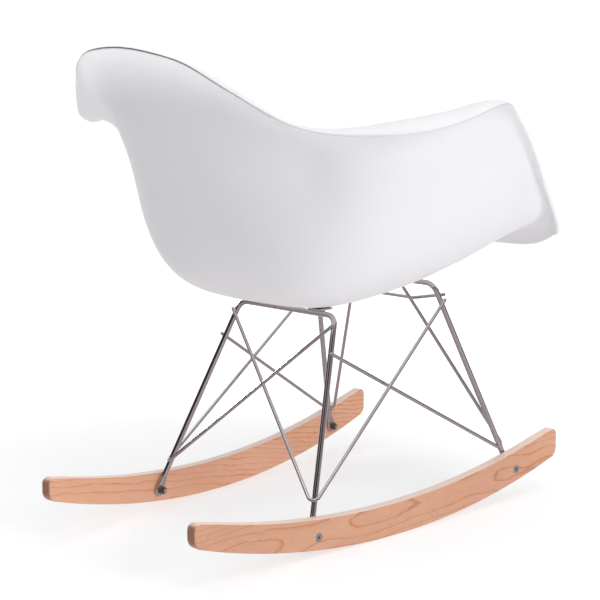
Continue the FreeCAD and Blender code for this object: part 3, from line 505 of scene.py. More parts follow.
# ------------------------------------------------------------------- shell
NET = [
    [(0.00, -361.82, 366.72), (71.00, -364.09, 367.06), (120.78, -366.80, 366.46), (154.07, -366.10, 373.00), (175.69, -359.22, 384.60), (187.50, -350.50, 390.00), (198.76, -343.96, 391.45), (205.15, -338.19, 395.29), (207.78, -335.33, 397.59), (210.32, -331.87, 400.85), (212.63, -328.03, 404.87), (214.62, -324.17, 409.16), (215.90, -321.38, 412.38), (216.50, -320.00, 414.00)],
    [(0.00, -357.86, 383.90), (70.76, -360.03, 384.46), (120.63, -362.78, 384.39), (155.41, -362.36, 389.04), (178.92, -356.16, 397.59), (192.73, -345.96, 404.54), (201.77, -337.35, 409.04), (207.31, -330.08, 413.68), (209.69, -326.56, 416.14), (212.16, -322.42, 419.35), (214.57, -317.92, 423.13), (216.79, -313.48, 427.09), (218.28, -310.31, 430.03), (219.00, -308.75, 431.50)],
    [(0.00, -347.17, 403.17), (70.40, -349.13, 403.50), (120.89, -351.31, 403.78), (157.58, -350.58, 406.25), (183.99, -344.44, 412.11), (200.52, -331.78, 422.03), (207.77, -320.51, 431.27), (212.73, -311.14, 438.42), (214.96, -306.71, 441.80), (217.34, -301.73, 445.64), (219.74, -296.54, 449.73), (221.99, -291.56, 453.72), (223.53, -288.11, 456.52), (224.27, -286.43, 457.90)],
    [(0.00, -315.64, 405.79), (69.95, -317.08, 404.78), (121.99, -317.02, 404.75), (160.34, -314.41, 406.87), (190.57, -306.53, 415.18), (209.86, -291.62, 431.71), (218.84, -279.02, 448.39), (225.04, -268.19, 462.64), (227.70, -263.23, 469.12), (230.32, -257.98, 475.87), (232.68, -252.92, 482.29), (234.68, -248.39, 487.95), (235.91, -245.42, 491.59), (236.49, -244.02, 493.30)],
    [(0.00, -258.95, 387.65), (69.40, -259.38, 386.75), (121.28, -257.23, 387.70), (161.65, -254.20, 392.46), (195.77, -246.98, 407.46), (218.31, -235.24, 435.71), (229.35, -225.07, 464.35), (237.54, -216.00, 488.34), (241.22, -211.91, 499.10), (245.13, -207.78, 510.04), (248.98, -204.02, 520.15), (252.51, -200.85, 528.82), (254.87, -198.90, 534.25), (256.00, -198.01, 536.76)],
    [(0.00, -164.84, 350.41), (68.40, -164.75, 349.91), (119.56, -163.33, 354.31), (161.05, -161.02, 362.91), (197.94, -156.62, 386.23), (223.53, -148.29, 429.46), (236.26, -141.29, 474.04), (246.37, -135.48, 515.34), (251.31, -133.09, 533.46), (257.26, -131.12, 550.59), (263.89, -129.83, 564.68), (270.59, -129.21, 575.15), (275.45, -129.13, 580.67), (277.86, -129.17, 582.96)],
    [(0.00, -74.69, 323.77), (67.44, -74.49, 324.74), (117.74, -73.54, 331.89), (159.47, -71.94, 343.83), (199.34, -69.65, 371.15), (227.42, -63.52, 423.74), (241.91, -56.96, 484.93), (253.99, -55.33, 546.70), (260.69, -55.62, 572.41), (270.18, -57.64, 593.17), (282.19, -61.42, 605.38), (295.38, -66.29, 609.48), (305.50, -70.38, 607.92), (310.64, -72.53, 606.18)],
    [(0.00, 10.52, 312.27), (67.42, 10.95, 312.87), (117.35, 12.29, 320.97), (159.42, 12.74, 335.07), (201.10, 13.61, 366.84), (230.61, 15.93, 424.80), (245.55, 20.31, 485.97), (258.44, 20.50, 542.53), (265.70, 19.81, 565.36), (276.11, 17.87, 582.66), (289.38, 14.74, 591.25), (304.01, 10.91, 591.95), (315.26, 7.80, 588.09), (320.98, 6.19, 585.25)],
    [(0.00, 86.05, 312.74), (69.01, 85.78, 312.17), (119.57, 84.76, 317.40), (160.29, 81.83, 336.40), (199.85, 79.93, 374.75), (227.07, 81.56, 436.69), (239.75, 85.04, 497.91), (252.21, 88.36, 548.52), (259.36, 90.12, 567.79), (269.73, 92.42, 580.27), (282.95, 95.15, 583.22), (297.52, 98.02, 578.13), (308.70, 100.16, 570.06), (314.39, 101.24, 565.13)],
    [(0.00, 151.67, 338.95), (68.29, 149.97, 339.63), (117.03, 147.23, 347.91), (153.37, 142.39, 372.29), (181.22, 139.25, 412.68), (201.56, 135.13, 466.07), (211.75, 134.71, 513.42), (221.88, 141.28, 546.44), (226.70, 145.53, 558.89), (231.98, 151.80, 567.39), (237.26, 159.65, 570.48), (242.12, 168.12, 568.99), (245.37, 174.50, 565.44), (246.92, 177.71, 563.16)],
    [(0.00, 191.45, 391.67), (64.35, 189.09, 395.41), (107.18, 183.94, 407.59), (136.93, 176.20, 435.42), (160.58, 170.11, 475.55), (171.96, 159.34, 519.54), (180.76, 162.85, 545.42), (190.91, 174.72, 559.84), (195.97, 181.10, 565.19), (201.84, 188.75, 569.13), (208.05, 196.87, 571.27), (214.01, 204.62, 571.88), (218.15, 209.93, 571.51), (220.16, 212.50, 571.16)],
    [(0.00, 225.75, 464.96), (57.83, 223.07, 469.13), (95.94, 214.84, 482.66), (123.81, 205.04, 506.86), (145.00, 200.01, 536.61), (159.18, 196.79, 563.56), (168.72, 202.10, 574.92), (177.73, 211.25, 578.87), (182.22, 215.80, 580.04), (187.62, 220.81, 580.59), (193.57, 225.72, 580.59), (199.51, 230.10, 580.19), (203.76, 232.93, 579.73), (205.86, 234.26, 579.47)],
    [(0.00, 253.62, 528.09), (53.05, 251.02, 531.56), (89.05, 243.34, 542.64), (115.98, 235.35, 559.36), (136.45, 230.13, 578.86), (151.49, 229.88, 592.45), (161.44, 233.65, 596.00), (169.60, 238.19, 595.85), (173.44, 240.22, 595.33), (177.87, 242.22, 594.12), (182.66, 243.86, 592.46), (187.40, 245.10, 590.58), (190.80, 245.73, 589.18), (192.48, 245.98, 588.50)],
    [(0.00, 279.15, 585.50), (48.08, 276.77, 587.22), (81.14, 266.68, 594.40), (106.04, 257.77, 601.95), (127.81, 252.87, 608.92), (144.62, 252.20, 610.81), (154.56, 253.62, 608.80), (161.83, 255.05, 606.15), (165.16, 255.58, 604.70), (168.95, 255.91, 602.84), (173.00, 255.94, 600.80), (176.97, 255.73, 598.78), (179.79, 255.44, 597.36), (181.18, 255.27, 596.66)],
    [(0.00, 291.25, 619.62), (44.29, 288.89, 620.50), (76.50, 282.01, 623.07), (101.23, 272.60, 625.12), (123.47, 267.37, 625.51), (140.37, 265.67, 621.16), (149.51, 265.07, 616.25), (156.25, 264.58, 612.37), (159.37, 264.25, 610.48), (162.92, 263.70, 608.36), (166.68, 262.95, 606.11), (170.37, 262.05, 603.98), (172.98, 261.32, 602.55), (174.28, 260.89, 601.95)],
    [(0.00, 306.14, 650.78), (40.74, 304.80, 650.48), (71.95, 299.89, 648.86), (97.12, 290.03, 645.12), (118.95, 284.44, 639.69), (134.44, 280.78, 630.59), (142.73, 277.31, 624.07), (149.35, 274.69, 619.29), (152.45, 273.44, 617.08), (155.97, 271.93, 614.72), (159.64, 270.38, 612.16), (163.21, 268.78, 609.83), (165.71, 267.59, 608.28), (166.94, 266.98, 607.57)],
    [(0.00, 322.24, 668.29), (38.24, 321.77, 667.04), (68.91, 317.83, 662.34), (94.36, 306.19, 655.33), (114.59, 299.45, 647.24), (128.60, 293.32, 637.04), (136.53, 287.61, 630.03), (143.37, 283.20, 624.82), (146.60, 281.14, 622.44), (150.21, 278.90, 619.74), (153.98, 276.50, 617.06), (157.58, 273.95, 614.81), (160.06, 272.35, 613.07), (161.27, 271.55, 612.25)],
    [(0.00, 333.65, 672.69), (36.85, 333.72, 670.64), (67.48, 329.07, 665.31), (93.00, 315.37, 658.03), (111.96, 307.67, 649.30), (125.51, 299.80, 639.83), (133.48, 292.87, 633.00), (140.45, 287.45, 627.73), (143.73, 285.05, 625.14), (147.42, 282.29, 622.42), (151.22, 279.41, 619.69), (154.83, 276.69, 617.07), (157.31, 274.93, 615.15), (158.52, 274.14, 614.15)],
]
KNOTS_U = [0, 0, 0, 0, 0.04545455, 0.09090909, 0.1818182, 0.2727273, 0.3636364, 0.4545455, 0.5454545, 0.6363636, 0.7272727, 0.8181818, 0.9090909, 0.9363636, 0.9590909, 0.9818182, 1, 1, 1, 1]
KNOTS_V = [0, 0, 0, 0, 0.008571429, 0.01857143, 0.03, 0.04428571, 0.05857143, 0.07142857, 0.1428571, 0.2142857, 0.2857143, 0.3571429, 0.4285714, 0.5, 0.5714286, 0.6428571, 0.7142857, 0.7857143, 0.8571429, 0.9285714, 0.9414286, 0.9557143, 0.97, 0.9814286, 0.9914286, 1, 1, 1, 1]
WALL = 4.6


def knot_vector(n, k=3):
    return np.array(KNOTS_U if n == len(KNOTS_U) - 4 else KNOTS_V, float)


def basis_row(n, t, k=3, der=0):
    kn = knot_vector(n, k)
    t = min(max(t, 0.0), 1.0 - 1e-12)
    N = np.zeros((k + 1, n + k))
    j = int(np.searchsorted(kn, t, side="right") - 1)
    N[0, j] = 1.0
    for q in range(1, k + 1):
        for i in range(0, n + k - q):
            a, b = kn[i + q] - kn[i], kn[i + q + 1] - kn[i + 1]
            v = 0.0
            if a > 0:
                v += (t - kn[i]) / a * N[q - 1, i]
            if b > 0:
                v += (kn[i + q + 1] - t) / b * N[q - 1, i + 1]
            N[q, i] = v
    if der == 0:
        return N[k, :n]
    d = np.zeros(n)
    for i in range(n):
        a, b = kn[i + k] - kn[i], kn[i + k + 1] - kn[i + 1]
        if a > 0:
            d[i] += k / a * N[k - 1, i]
        if b > 0:
            d[i] -= k / b * N[k - 1, i + 1]
    return d


def greville(n, k=3):
    kn = knot_vector(n, k)
    return [float(np.mean(kn[i + 1:i + 1 + k])) for i in range(n)]


half_net = np.array(NET, float)
ROWS, COLS = half_net.shape[:2]
base_net = np.concatenate([half_net[:, :0:-1] * np.array([-1, 1, 1.0]), half_net], 1)
WIDE = 2 * COLS - 1
gu, gv = greville(ROWS), greville(WIDE)


def net_normal(net, u, v):
    Su = np.einsum("a,b,abc->c", basis_row(ROWS, u, der=1), basis_row(WIDE, v), net)
    Sv = np.einsum("a,b,abc->c", basis_row(ROWS, u), basis_row(WIDE, v, der=1), net)
    return unit(np.cross(Su, Sv))


def clampg(t):
    return min(max(t, 0.004), 0.996)


flip = 1.0 if net_normal(base_net, clampg(gu[5]), clampg(gv[COLS - 1]))[2] > 0 else -1.0
# how far the wall lies outside the net's surface: none in the seat, all at the rim
OFF_V = ([0.5, 0.72, 0.80, 0.88, 0.95, 1.0], [0.0, 0.0, 0.1, 0.5, 1.0, 1.0])
OFF_U = ([0.0, 0.03, 0.09, 0.18, 0.82, 0.91, 0.97, 1.0], [0.3, 0.6, 0.3, 0.0, 0.0, 0.3, 0.7, 1.0])
outer_net, inner_net = np.zeros_like(base_net), np.zeros_like(base_net)
for i in range(ROWS):
    for j in range(WIDE):
        w = max(float(np.interp(0.5 + abs(gv[j] - 0.5), *OFF_V)), float(np.interp(gu[i], *OFF_U)))
        n = net_normal(base_net, clampg(gu[i]), clampg(gv[j])) * flip
        if j == COLS - 1:
            n = unit([0.0, n[1], n[2]])
        outer_net[i, j] = base_net[i, j] - n * (WALL * w)
        inner_net[i, j] = outer_net[i, j] + n * WALL
for net in (outer_net, inner_net):
    for j in range(COLS - 1):
        net[:, j] = net[:, WIDE - 1 - j] * np.array([-1, 1, 1.0])


def border_levels(edge_r):
    """Distances from the rim and share of the corner radius taken off."""
    out = []
    for deg in (0, 18, 36, 54, 72, 90):
        a = math.radians(deg)
        out.append((edge_r * (1 - math.cos(a)), edge_r * (1 - math.sin(a))))
    return out


EDGE_R = 1.5
LEVELS = border_levels(EDGE_R)
HOLD = [EDGE_R + 0.8, EDGE_R + 3.5, EDGE_R + 9.0]


def surface_grid(NU, NV):
    """Vertex grids of both faces of the shell, with the rim's corners rounded."""
    mid_net = (outer_net + inner_net) / 2.0
    # scale along each border, to turn millimetres into parameter steps
    dense = np.linspace(0, 1, 61)
    Bu0 = np.array([basis_row(ROWS, t) for t in dense])
    Bv0 = np.array([basis_row(WIDE, t) for t in dense])
    def spd_u(end):
        d = basis_row(ROWS, end, der=1)
        return np.linalg.norm(np.einsum("a,jb,abc->jc", d, Bv0, mid_net), axis=1)
    def spd_v(end):
        d = basis_row(WIDE, end, der=1)
        return np.linalg.norm(np.einsum("ia,b,abc->ic", Bu0, d, mid_net), axis=1)
    su0, su1, sv0, sv1 = spd_u(0.0), spd_u(1.0), spd_v(0.0), spd_v(1.0)
    near = [d for d, _ in LEVELS] + HOLD
    nn = len(near)
    margin_u = near[-1] / min(su0.min(), su1.min())
    inner_u = np.linspace(0, 1, NU)
    inner_v = np.linspace(0, 1, NV)
    U, V = [], []
    # blended so that rows near the border keep a constant distance from it
    total_u, total_v = nn * 2 + NU, nn * 2 + NV
    gridU = np.zeros((total_u, total_v))
    gridV = np.zeros((total_u, total_v))
    dU = np.zeros((total_u, total_v))
    dV = np.zeros((total_u, total_v))
    # nominal parameters of the columns and rows, used to look up the speeds
    vcols = np.concatenate([np.zeros(nn), inner_v, np.ones(nn)])
    urows = np.concatenate([np.zeros(nn), inner_u, np.ones(nn)])
    for j in range(total_v):
        s0 = np.interp(vcols[j], dense, su0)
        s1 = np.interp(vcols[j], dense, su1)
        lo, hi = near[-1] / s0, near[-1] / s1
        mid = lo + (1 - lo - hi) * (inner_u * (NU - 1) + 1) / (NU + 1)
        col = np.concatenate([np.array(near) / s0, mid, 1 - np.array(near[::-1]) / s1])
        gridU[:, j] = col
    for i in range(total_u):
        s0 = np.interp(urows[i], dense, sv0)
        s1 = np.interp(urows[i], dense, sv1)
        lo, hi = near[-1] / s0, near[-1] / s1
        mid = lo + (1 - lo - hi) * (inner_v * (NV - 1) + 1) / (NV + 1)
        gridV[i, :] = np.concatenate([np.array(near) / s0, mid, 1 - np.array(near[::-1]) / s1])
    # half thickness from the distance to the nearest border
    cut_rows = np.zeros(total_u)
    cut_cols = np.zeros(total_v)
    for k, (d, c) in enumerate(LEVELS):
        cut_rows[k] = c
        cut_rows[total_u - 1 - k] = c
        cut_cols[k] = c
        cut_cols[total_v - 1 - k] = c
    half = WALL / 2.0 - np.maximum(cut_rows[:, None], cut_cols[None, :])
    flatu, flatv = gridU.ravel(), gridV.ravel()
    P = np.zeros((flatu.size, 3))
    Q = np.zeros((flatu.size, 3))
    cache_u, cache_v = {}, {}
    def bu(t):
        key = round(float(t), 7)
        if key not in cache_u:
            cache_u[key] = basis_row(ROWS, key)
        return cache_u[key]
    def bv(t):
        key = round(float(t), 7)
        if key not in cache_v:
            cache_v[key] = basis_row(WIDE, key)
        return cache_v[key]
    MU = fast_basis(ROWS, flatu)
    MV = fast_basis(WIDE, flatv)
    P = np.einsum("na,nb,abc->nc", MU, MV, outer_net, optimize=True)
    Q = np.einsum("na,nb,abc->nc", MU, MV, inner_net, optimize=True)
    M = (P + Q) / 2.0
    N = (Q - P)
    N /= np.linalg.norm(N, axis=1)[:, None]
    M, N = M.reshape(total_u, total_v, 3), N.reshape(total_u, total_v, 3)
    turn_out_edges(M, N)
    h = half[:, :, None]
    return M - N * h, M + N * h, MU, MV


def step(x, lo, hi):
    t = np.clip((x - lo) / (hi - lo), 0, 1)
    return t * t * (3 - 2 * t)


def turn_out_edges(M, N):
    """Bend the wall outwards along the arms and their front edges. The rim
    stays where it is; the wall below it steps in and rounds into the lip."""
    for side in (1, -1):
        m, n = M[:, ::side], N[:, ::side]
        count = m.shape[1] // 2
        seg = np.zeros_like(m)
        seg[:, :-1] = m[:, 1:] - m[:, :-1]
        seg[:, -1] = seg[:, -2]
        along = np.gradient(m, axis=0)
        along /= np.linalg.norm(along, axis=2)[:, :, None] + 1e-12
        T = np.cross(along, n)
        T /= np.linalg.norm(T, axis=2)[:, :, None] + 1e-12
        T *= np.where(np.sum(T * seg, axis=2) < 0, -1.0, 1.0)[:, :, None]
        prog = np.abs(np.sum(seg * T, axis=2))
        dist = np.zeros(m.shape[:2])
        dist[:, :-1] = np.cumsum(prog[:, :-1][:, ::-1], axis=1)[:, ::-1]
        rim = m[:, -1]
        y = rim[:, 1]
        run = np.concatenate([[0.0], np.cumsum(np.linalg.norm(rim[1:] - rim[:-1], axis=1))])
        weight = step(run, 45.0, 130.0) * (1 - step(y, 60.0, 260.0))
        fall = np.abs(np.gradient(rim[:, 2])) / (np.linalg.norm(np.gradient(rim, axis=0), axis=1) + 1e-9)
        front = step(fall, 0.30, 0.75) * (1 - step(y, -150.0, -90.0))
        front = np.convolve(np.pad(front, 4, "edge"), np.ones(9) / 9.0, "valid")
        phi = weight * np.radians(8.0 + 64.0 * front)
        R = 14.0 - 8.0 * front
        flat = 8.0 + 2.0 * front
        reach = 75.0 - 10.0 * front
        phi, R, flat, reach = [np.asarray(q)[:, None] for q in (phi, R, flat, reach)]
        O = -n
        L = flat + R * phi
        back = flat * np.cos(phi) + R * np.sin(phi)
        deep = flat * np.sin(phi) + R * (1 - np.cos(phi))
        theta = np.clip(phi - (dist - flat) / R, 0, phi)
        in_flat = dist < flat
        in_bend = (dist >= flat) & (dist < L)
        fade = 1 - step(dist, L, L + reach)
        pos = np.where(in_flat, dist * np.cos(phi), np.where(in_bend, flat * np.cos(phi) + R * (np.sin(phi) - np.sin(theta)), 0))
        sink = np.where(in_flat, dist * np.sin(phi), np.where(in_bend, flat * np.sin(phi) + R * (np.cos(theta) - np.cos(phi)), 0))
        near = in_flat | in_bend
        dT = np.where(near, dist - pos, (L - back) * fade)
        dO = np.where(near, -sink, -deep * fade)
        cols = slice(m.shape[1] - count, None)
        new_n = n * np.cos(theta)[:, :, None] + T * np.sin(theta)[:, :, None]
        moved = m + T * dT[:, :, None] + O * dO[:, :, None]
        m[:, cols] = moved[:, cols]
        n[:, cols] = new_n[:, cols]


def fast_basis(n, ts, k=3):
    kn = knot_vector(n, k)
    ts = np.clip(ts, 0, 1 - 1e-12)
    N = [None] * (n + k)
    cur = [((ts >= kn[i]) & (ts < kn[i + 1])).astype(float) for i in range(n + k)]
    for q in range(1, k + 1):
        nxt = []
        for i in range(0, n + k - q):
            a, b = kn[i + q] - kn[i], kn[i + q + 1] - kn[i + 1]
            v = np.zeros_like(ts)
            if a > 0:
                v = v + (ts - kn[i]) / a * cur[i]
            if b > 0:
                v = v + (kn[i + q + 1] - ts) / b * cur[i + 1]
            nxt.append(v)
        cur = nxt
    return np.stack(cur[:n], 1)


def build_shell():
    NU, NV = ((130, 170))
    out, inn, _, _ = surface_grid(NU, NV)
    tu, tv = out.shape[:2]
    verts = np.concatenate([out.reshape(-1, 3), inn.reshape(-1, 3)]) * MM
    faces, mats = [], []
    off = tu * tv
    i, j = np.meshgrid(np.arange(tu - 1), np.arange(tv - 1), indexing="ij")
    a = (i * tv + j).ravel()
    quads_out = np.stack([a, a + 1, a + tv + 1, a + tv], 1)
    quads_in = np.stack([a + off, a + off + tv, a + off + tv + 1, a + off + 1], 1)
    faces = quads_out.tolist() + quads_in.tolist()
    mats = [0] * len(faces)
    ring = [(0, c) for c in range(tv)] + [(r, tv - 1) for r in range(1, tu)] + \
           [(tu - 1, c) for c in range(tv - 2, -1, -1)] + [(r, 0) for r in range(tu - 2, 0, -1)]
    idx = [r * tv + c for r, c in ring]
    n = len(idx)
    for k in range(n):
        p, q = idx[k], idx[(k + 1) % n]
        faces.append((p, p + off, q + off, q))
        mats.append(1)
    ob = new_object("shell_moulding", verts, faces, [shell_mat, edge_mat], mat_index=mats)
    bm = bmesh.new()
    bm.from_mesh(ob.data)
    bmesh.ops.recalc_face_normals(bm, faces=bm.faces)
    bm.to_mesh(ob.data)
    bm.free()
    return ob


shell = build_shell()
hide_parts("seat_shell")
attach(shell, "root")


# ---------------------------------------------------------------- leg rods
LEG_D, LEG_BEND, EYE_R, EYE_T = 8.0, 17.0, 9.0, 5.0


def rear_leg(z):
    return np.array([151.0 - 0.2091 * (z - 30.0), 139.1 - 0.4030 * (z - 30.0), z])


def front_leg(z):
    return np.array([179.1 - 0.2040 * (z - 30.0), -261.8 + 0.3622 * (z - 30.0), z])


def inner_face_x(y):
    return 165.2 - TOE * y


def leg_rod(name, bar_y, bar_z, bar_half, bolt_y, bolt_z, node_name):
    """Bar and both legs in one rod; each leg end is hammered flat round its bolt."""
    inward = unit([-1.0, -TOE, 0.0])
    face = np.array([inner_face_x(bolt_y), bolt_y, bolt_z])
    top = np.array([bar_half, bar_y, bar_z])
    centre = np.array([inner_face_x(bolt_y) - 2.6, bolt_y, bolt_z])
    leg_dir = unit(top - centre)
    flat_dir = unit(leg_dir - inward * float(leg_dir @ inward))
    eye = face + inward * (EYE_T / 2.0)
    knee = eye + flat_dir * 15.0 + inward * 0.4
    line = bent_line([np.array([0.0, bar_y, bar_z]), top, knee], LEG_BEND, 16)
    line = split_runs(line, 30.0)
    # leg end: from the round rod to the flat eye
    tail = []
    for s in (30.0, 24.0, 19.0, 15.0, 12.0, 9.5, 7.5, 5.0, 2.5, 0.0, -2.5, -4.6, -6.4, -7.7, -8.5, -8.9, -9.0):
        tail.append(s)
    while np.linalg.norm(line[-1] - knee) < 22.0:
        line.pop()
    stations = [(p, None) for p in line]
    for s in tail:
        if s >= 15.0:
            p = knee + (unit(line[-1] - knee)) * (s - 15.0)
        else:
            p = eye + flat_dir * s + inward * (0.4 * max(0.0, s) / 15.0)
        stations.append((p, s))
    pts = [p for p, _ in stations]
    t, fr = carried(pts[::-1], inward)
    t, fr = t[::-1], fr[::-1]
    seg = 24
    verts = []
    for (p, s), tt, ss in zip(stations, t, fr):
        w = np.cross(tt, ss)
        r = LEG_D / 2.0
        if s is None or s >= 30.0:
            hw, ht, e = r, r, 2.0
        else:
            if s <= 6.0:
                hw = math.sqrt(max(EYE_R ** 2 - s * s, 0.02))
            else:
                f = min(1.0, (s - 6.0) / 20.0)
                f = f * f * (3 - 2 * f)
                hw = math.sqrt(EYE_R ** 2 - 36.0) * (1 - f) + r * f
            f = min(1.0, max(0.0, (s - 8.0) / 20.0))
            f = f * f * (3 - 2 * f)
            ht = EYE_T / 2.0 * (1 - f) + r * f
            e = 2.0 + 2.6 * (1 - f)
            if s < -6.0:
                ht = ht * (0.72 + 0.28 * math.sqrt(max(0.0, 1 - ((-s - 6.0) / 3.2) ** 2)))
        for k in range(seg):
            a = 2 * math.pi * k / seg
            ca, sa = math.cos(a), math.sin(a)
            x = math.copysign(abs(ca) ** (2.0 / e), ca) * ht
            y = math.copysign(abs(sa) ** (2.0 / e), sa) * hw
            verts.append((p + ss * x + w * y) * MM)
    n = len(stations)
    faces = rings_to_faces(n, seg)
    verts.append(pts[-1] * MM)
    for k in range(seg):
        faces.append((len(verts) - 1, (n - 1) * seg + k, (n - 1) * seg + (k + 1) % seg))
    m = len(verts)
    v2 = [np.array(v) * np.array([-1, 1, 1.0]) for v in verts]
    faces2 = [tuple(m + q for q in f[::-1]) for f in faces]
    ob = new_object(name, list(verts) + v2, faces + faces2, [chrome])
    weld(ob, 2e-5)
    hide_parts(node_name)
    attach(ob, "root")
    return ob


REAR_BOLT = (141.0, 27.0)
FRONT_BOLT = (-255.2, 48.5)
leg_rod("rear_rod_bent", 29.6, 302.0, 94.4, REAR_BOLT[0], REAR_BOLT[1], "rear_leg_rod")
leg_rod("front_rod_bent", -153.1, 330.0, 117.9, FRONT_BOLT[0], FRONT_BOLT[1], "front_leg_rod")


# ------------------------------------------------------------- brace wires
def v_corner(a, foot, b, bend=8.0):
    corner = np.array(foot, float)
    for _ in range(6):
        u, w = unit(a - corner), unit(b - corner)
        half = math.acos(float(u @ w)) / 2.0
        corner = foot - unit(u + w) * (bend / math.sin(half) - bend)
    return corner


GAP = 6.4


def past(end, corner, extra):
    return end + unit(end - corner) * extra


def side(p, s):
    return np.array([p[0] * s, p[1], p[2]])


welds = []      # (place, run direction, size) of each weld bead
for tag, s in (("right", -1.0), ("left", 1.0)):
    foot = rear_leg(70.0) + np.array([0.72, 0.72, 0]) * GAP
    a = front_leg(303.0) + np.array([GAP, 0, 0])
    b = side(rear_leg(288.0), -1.0) + np.array([0, GAP, 0])
    c = v_corner(a, foot, b)
    ob = wire("rear_v_wire_" + tag, [side(past(a, c, 6.0), s), side(c, s), side(past(b, c, 6.0), s)], 5.0, 8.0, [chrome])
    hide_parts("brace_rear_" + tag)
    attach(ob, "root")
    welds.append((side((rear_leg(70.0) + foot) / 2.0, s), unit(rear_leg(100.0) - rear_leg(40.0)) * np.array([s, 1, 1]), 1.0))
    welds.append((side((front_leg(303.0) + a) / 2.0, s), side(unit(a - c), s), 1.0))
    welds.append((side((side(rear_leg(288.0), -1.0) + b) / 2.0, s), side(unit(b - c), s), 1.0))
    foot = front_leg(81.0) + np.array([0.72, -0.72, 0]) * GAP
    a = rear_leg(252.0) + np.array([GAP, 0, 0])
    b = np.array([41.5, -153.1 - GAP, 332.0])
    c = v_corner(a, foot, b)
    ob = wire("front_v_wire_" + tag, [side(past(a, c, 6.0), s), side(c, s), side(past(b, c, 2.0), s)], 5.0, 8.0, [chrome])
    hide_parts("brace_front_" + tag)
    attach(ob, "root")
    welds.append((side((front_leg(81.0) + foot) / 2.0, s), unit(front_leg(100.0) - front_leg(40.0)) * np.array([s, 1, 1]), 1.0))
    welds.append((side((rear_leg(252.0) + a) / 2.0, s), side(unit(a - c), s), 1.0))
    welds.append((side(b + np.array([0, GAP / 2.0, -1.0]), s), np.array([1.0, 0, 0]), 1.0))

top = front_leg(312.5)
pts = [np.array([-top[0] - 6.5, top[1] - GAP - 1.2, 313.5]), np.array([-57.0, -181.6, 299.0]),
       np.array([57.0, -181.6, 299.0]), np.array([top[0] + 6.5, top[1] - GAP - 1.2, 313.5])]
ob = wire("front_cross_wire_bent", pts, 5.0, 12.0, [chrome])
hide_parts("front_cross_wire")
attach(ob, "root")
for s in (-1.0, 1.0):
    welds.append((side(np.array([top[0], top[1] - GAP / 2.0 - 0.6, 312.9]), s), np.array([1.0, 0, 0]), 1.0))


def weld_beads():
    """Small plated weld beads where the wires touch the legs and bars."""
    verts, faces = [], []
    rng = np.random.default_rng(7)
    nu, nv = 14, 9
    for p, d, size in welds:
        d = unit(d)
        e1 = unit(np.cross(d, [0.13, 0.21, 0.97]))
        e2 = np.cross(d, e1)
        base = len(verts)
        lump = rng.uniform(0.88, 1.12, (nv + 1, nu))
        lump[0, :] = 1.0
        lump[-1, :] = 1.0
        for a in range(nv + 1):
            th = math.pi * a / nv
            for k in range(nu):
                ph = 2 * math.pi * k / nu
                r = lump[a, k]
                q = d * (math.cos(th) * 4.6 * size) + (e1 * math.cos(ph) + e2 * math.sin(ph)) * (math.sin(th) * 2.5 * size * r)
                verts.append((p + q) * MM)
        for a in range(nv):
            for k in range(nu):
                k2 = (k + 1) % nu
                faces.append((base + a * nu + k, base + a * nu + k2, base + (a + 1) * nu + k2, base + (a + 1) * nu + k))
    ob = new_object("weld_beads", verts, faces, [chrome])
    weld(ob, 1e-6)
    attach(ob, "root")
    return ob


weld_beads()

# ----------------------------------------------------------------- rockers
R_LOW, R_TOP, TOP_LOW, TOP_SHIFT = 1123.0, 1261.0, 46.3, 18.4
THICK = 16.5


def zb(v):
    return R_LOW - math.sqrt(R_LOW ** 2 - v * v)


def zt(v):
    return TOP_LOW + R_TOP - math.sqrt(R_TOP ** 2 - (v - TOP_SHIFT) ** 2)


def round_corner(a, b, c, r, n=10):
    return bent_line([a, b, c], r, n)[1:-1]


def rocker_profile():
    """Outline in the plank's plane, (along, up), counter-clockwise, with rounded ends."""
    rear, front = 349.0, 347.0
    low = [np.array([v, zb(v), 0.0]) for v in np.linspace(-(front - 16.0), rear - 16.0, 90)]
    up = [np.array([v, zt(v), 0.0]) for v in np.linspace(rear - 16.0, -(front - 16.0), 90)]

    def slope(f, v):
        return (f(v + 0.5) - f(v - 0.5))

    def end(v0, sgn, e):
        # lower rounding, short end face, upper rounding
        a = np.array([sgn * (e - 30.0), zb(sgn * (e - 30.0)), 0.0])
        k1 = np.array([sgn * e, zb(sgn * (e - 16.0)) + (e - (e - 16.0)) * abs(slope(zb, sgn * (e - 10.0))), 0.0])
        k2 = np.array([sgn * e, zt(sgn * (e - 4.0)) - 1.2, 0.0])
        b = np.array([sgn * (e - 30.0), zt(sgn * (e - 30.0)), 0.0])
        return a, k1, k2, b
    a, k1, k2, b = end(0, 1.0, rear)
    rear_part = round_corner(a, k1, k2, 15.0) + round_corner(k1, k2, b, 9.0)
    a, k1, k2, b = end(0, -1.0, front)
    front_part = round_corner(b, k2, k1, 9.0) + round_corner(k2, k1, a, 15.0)
    low = [p for p in low if -(front - 31.0) < p[0] < rear - 31.0]
    up = [p for p in up if -(front - 31.0) < p[0] < rear - 31.0]
    prof = low + rear_part + up + front_part
    return np.array([[p[0], p[1]] for p in prof])


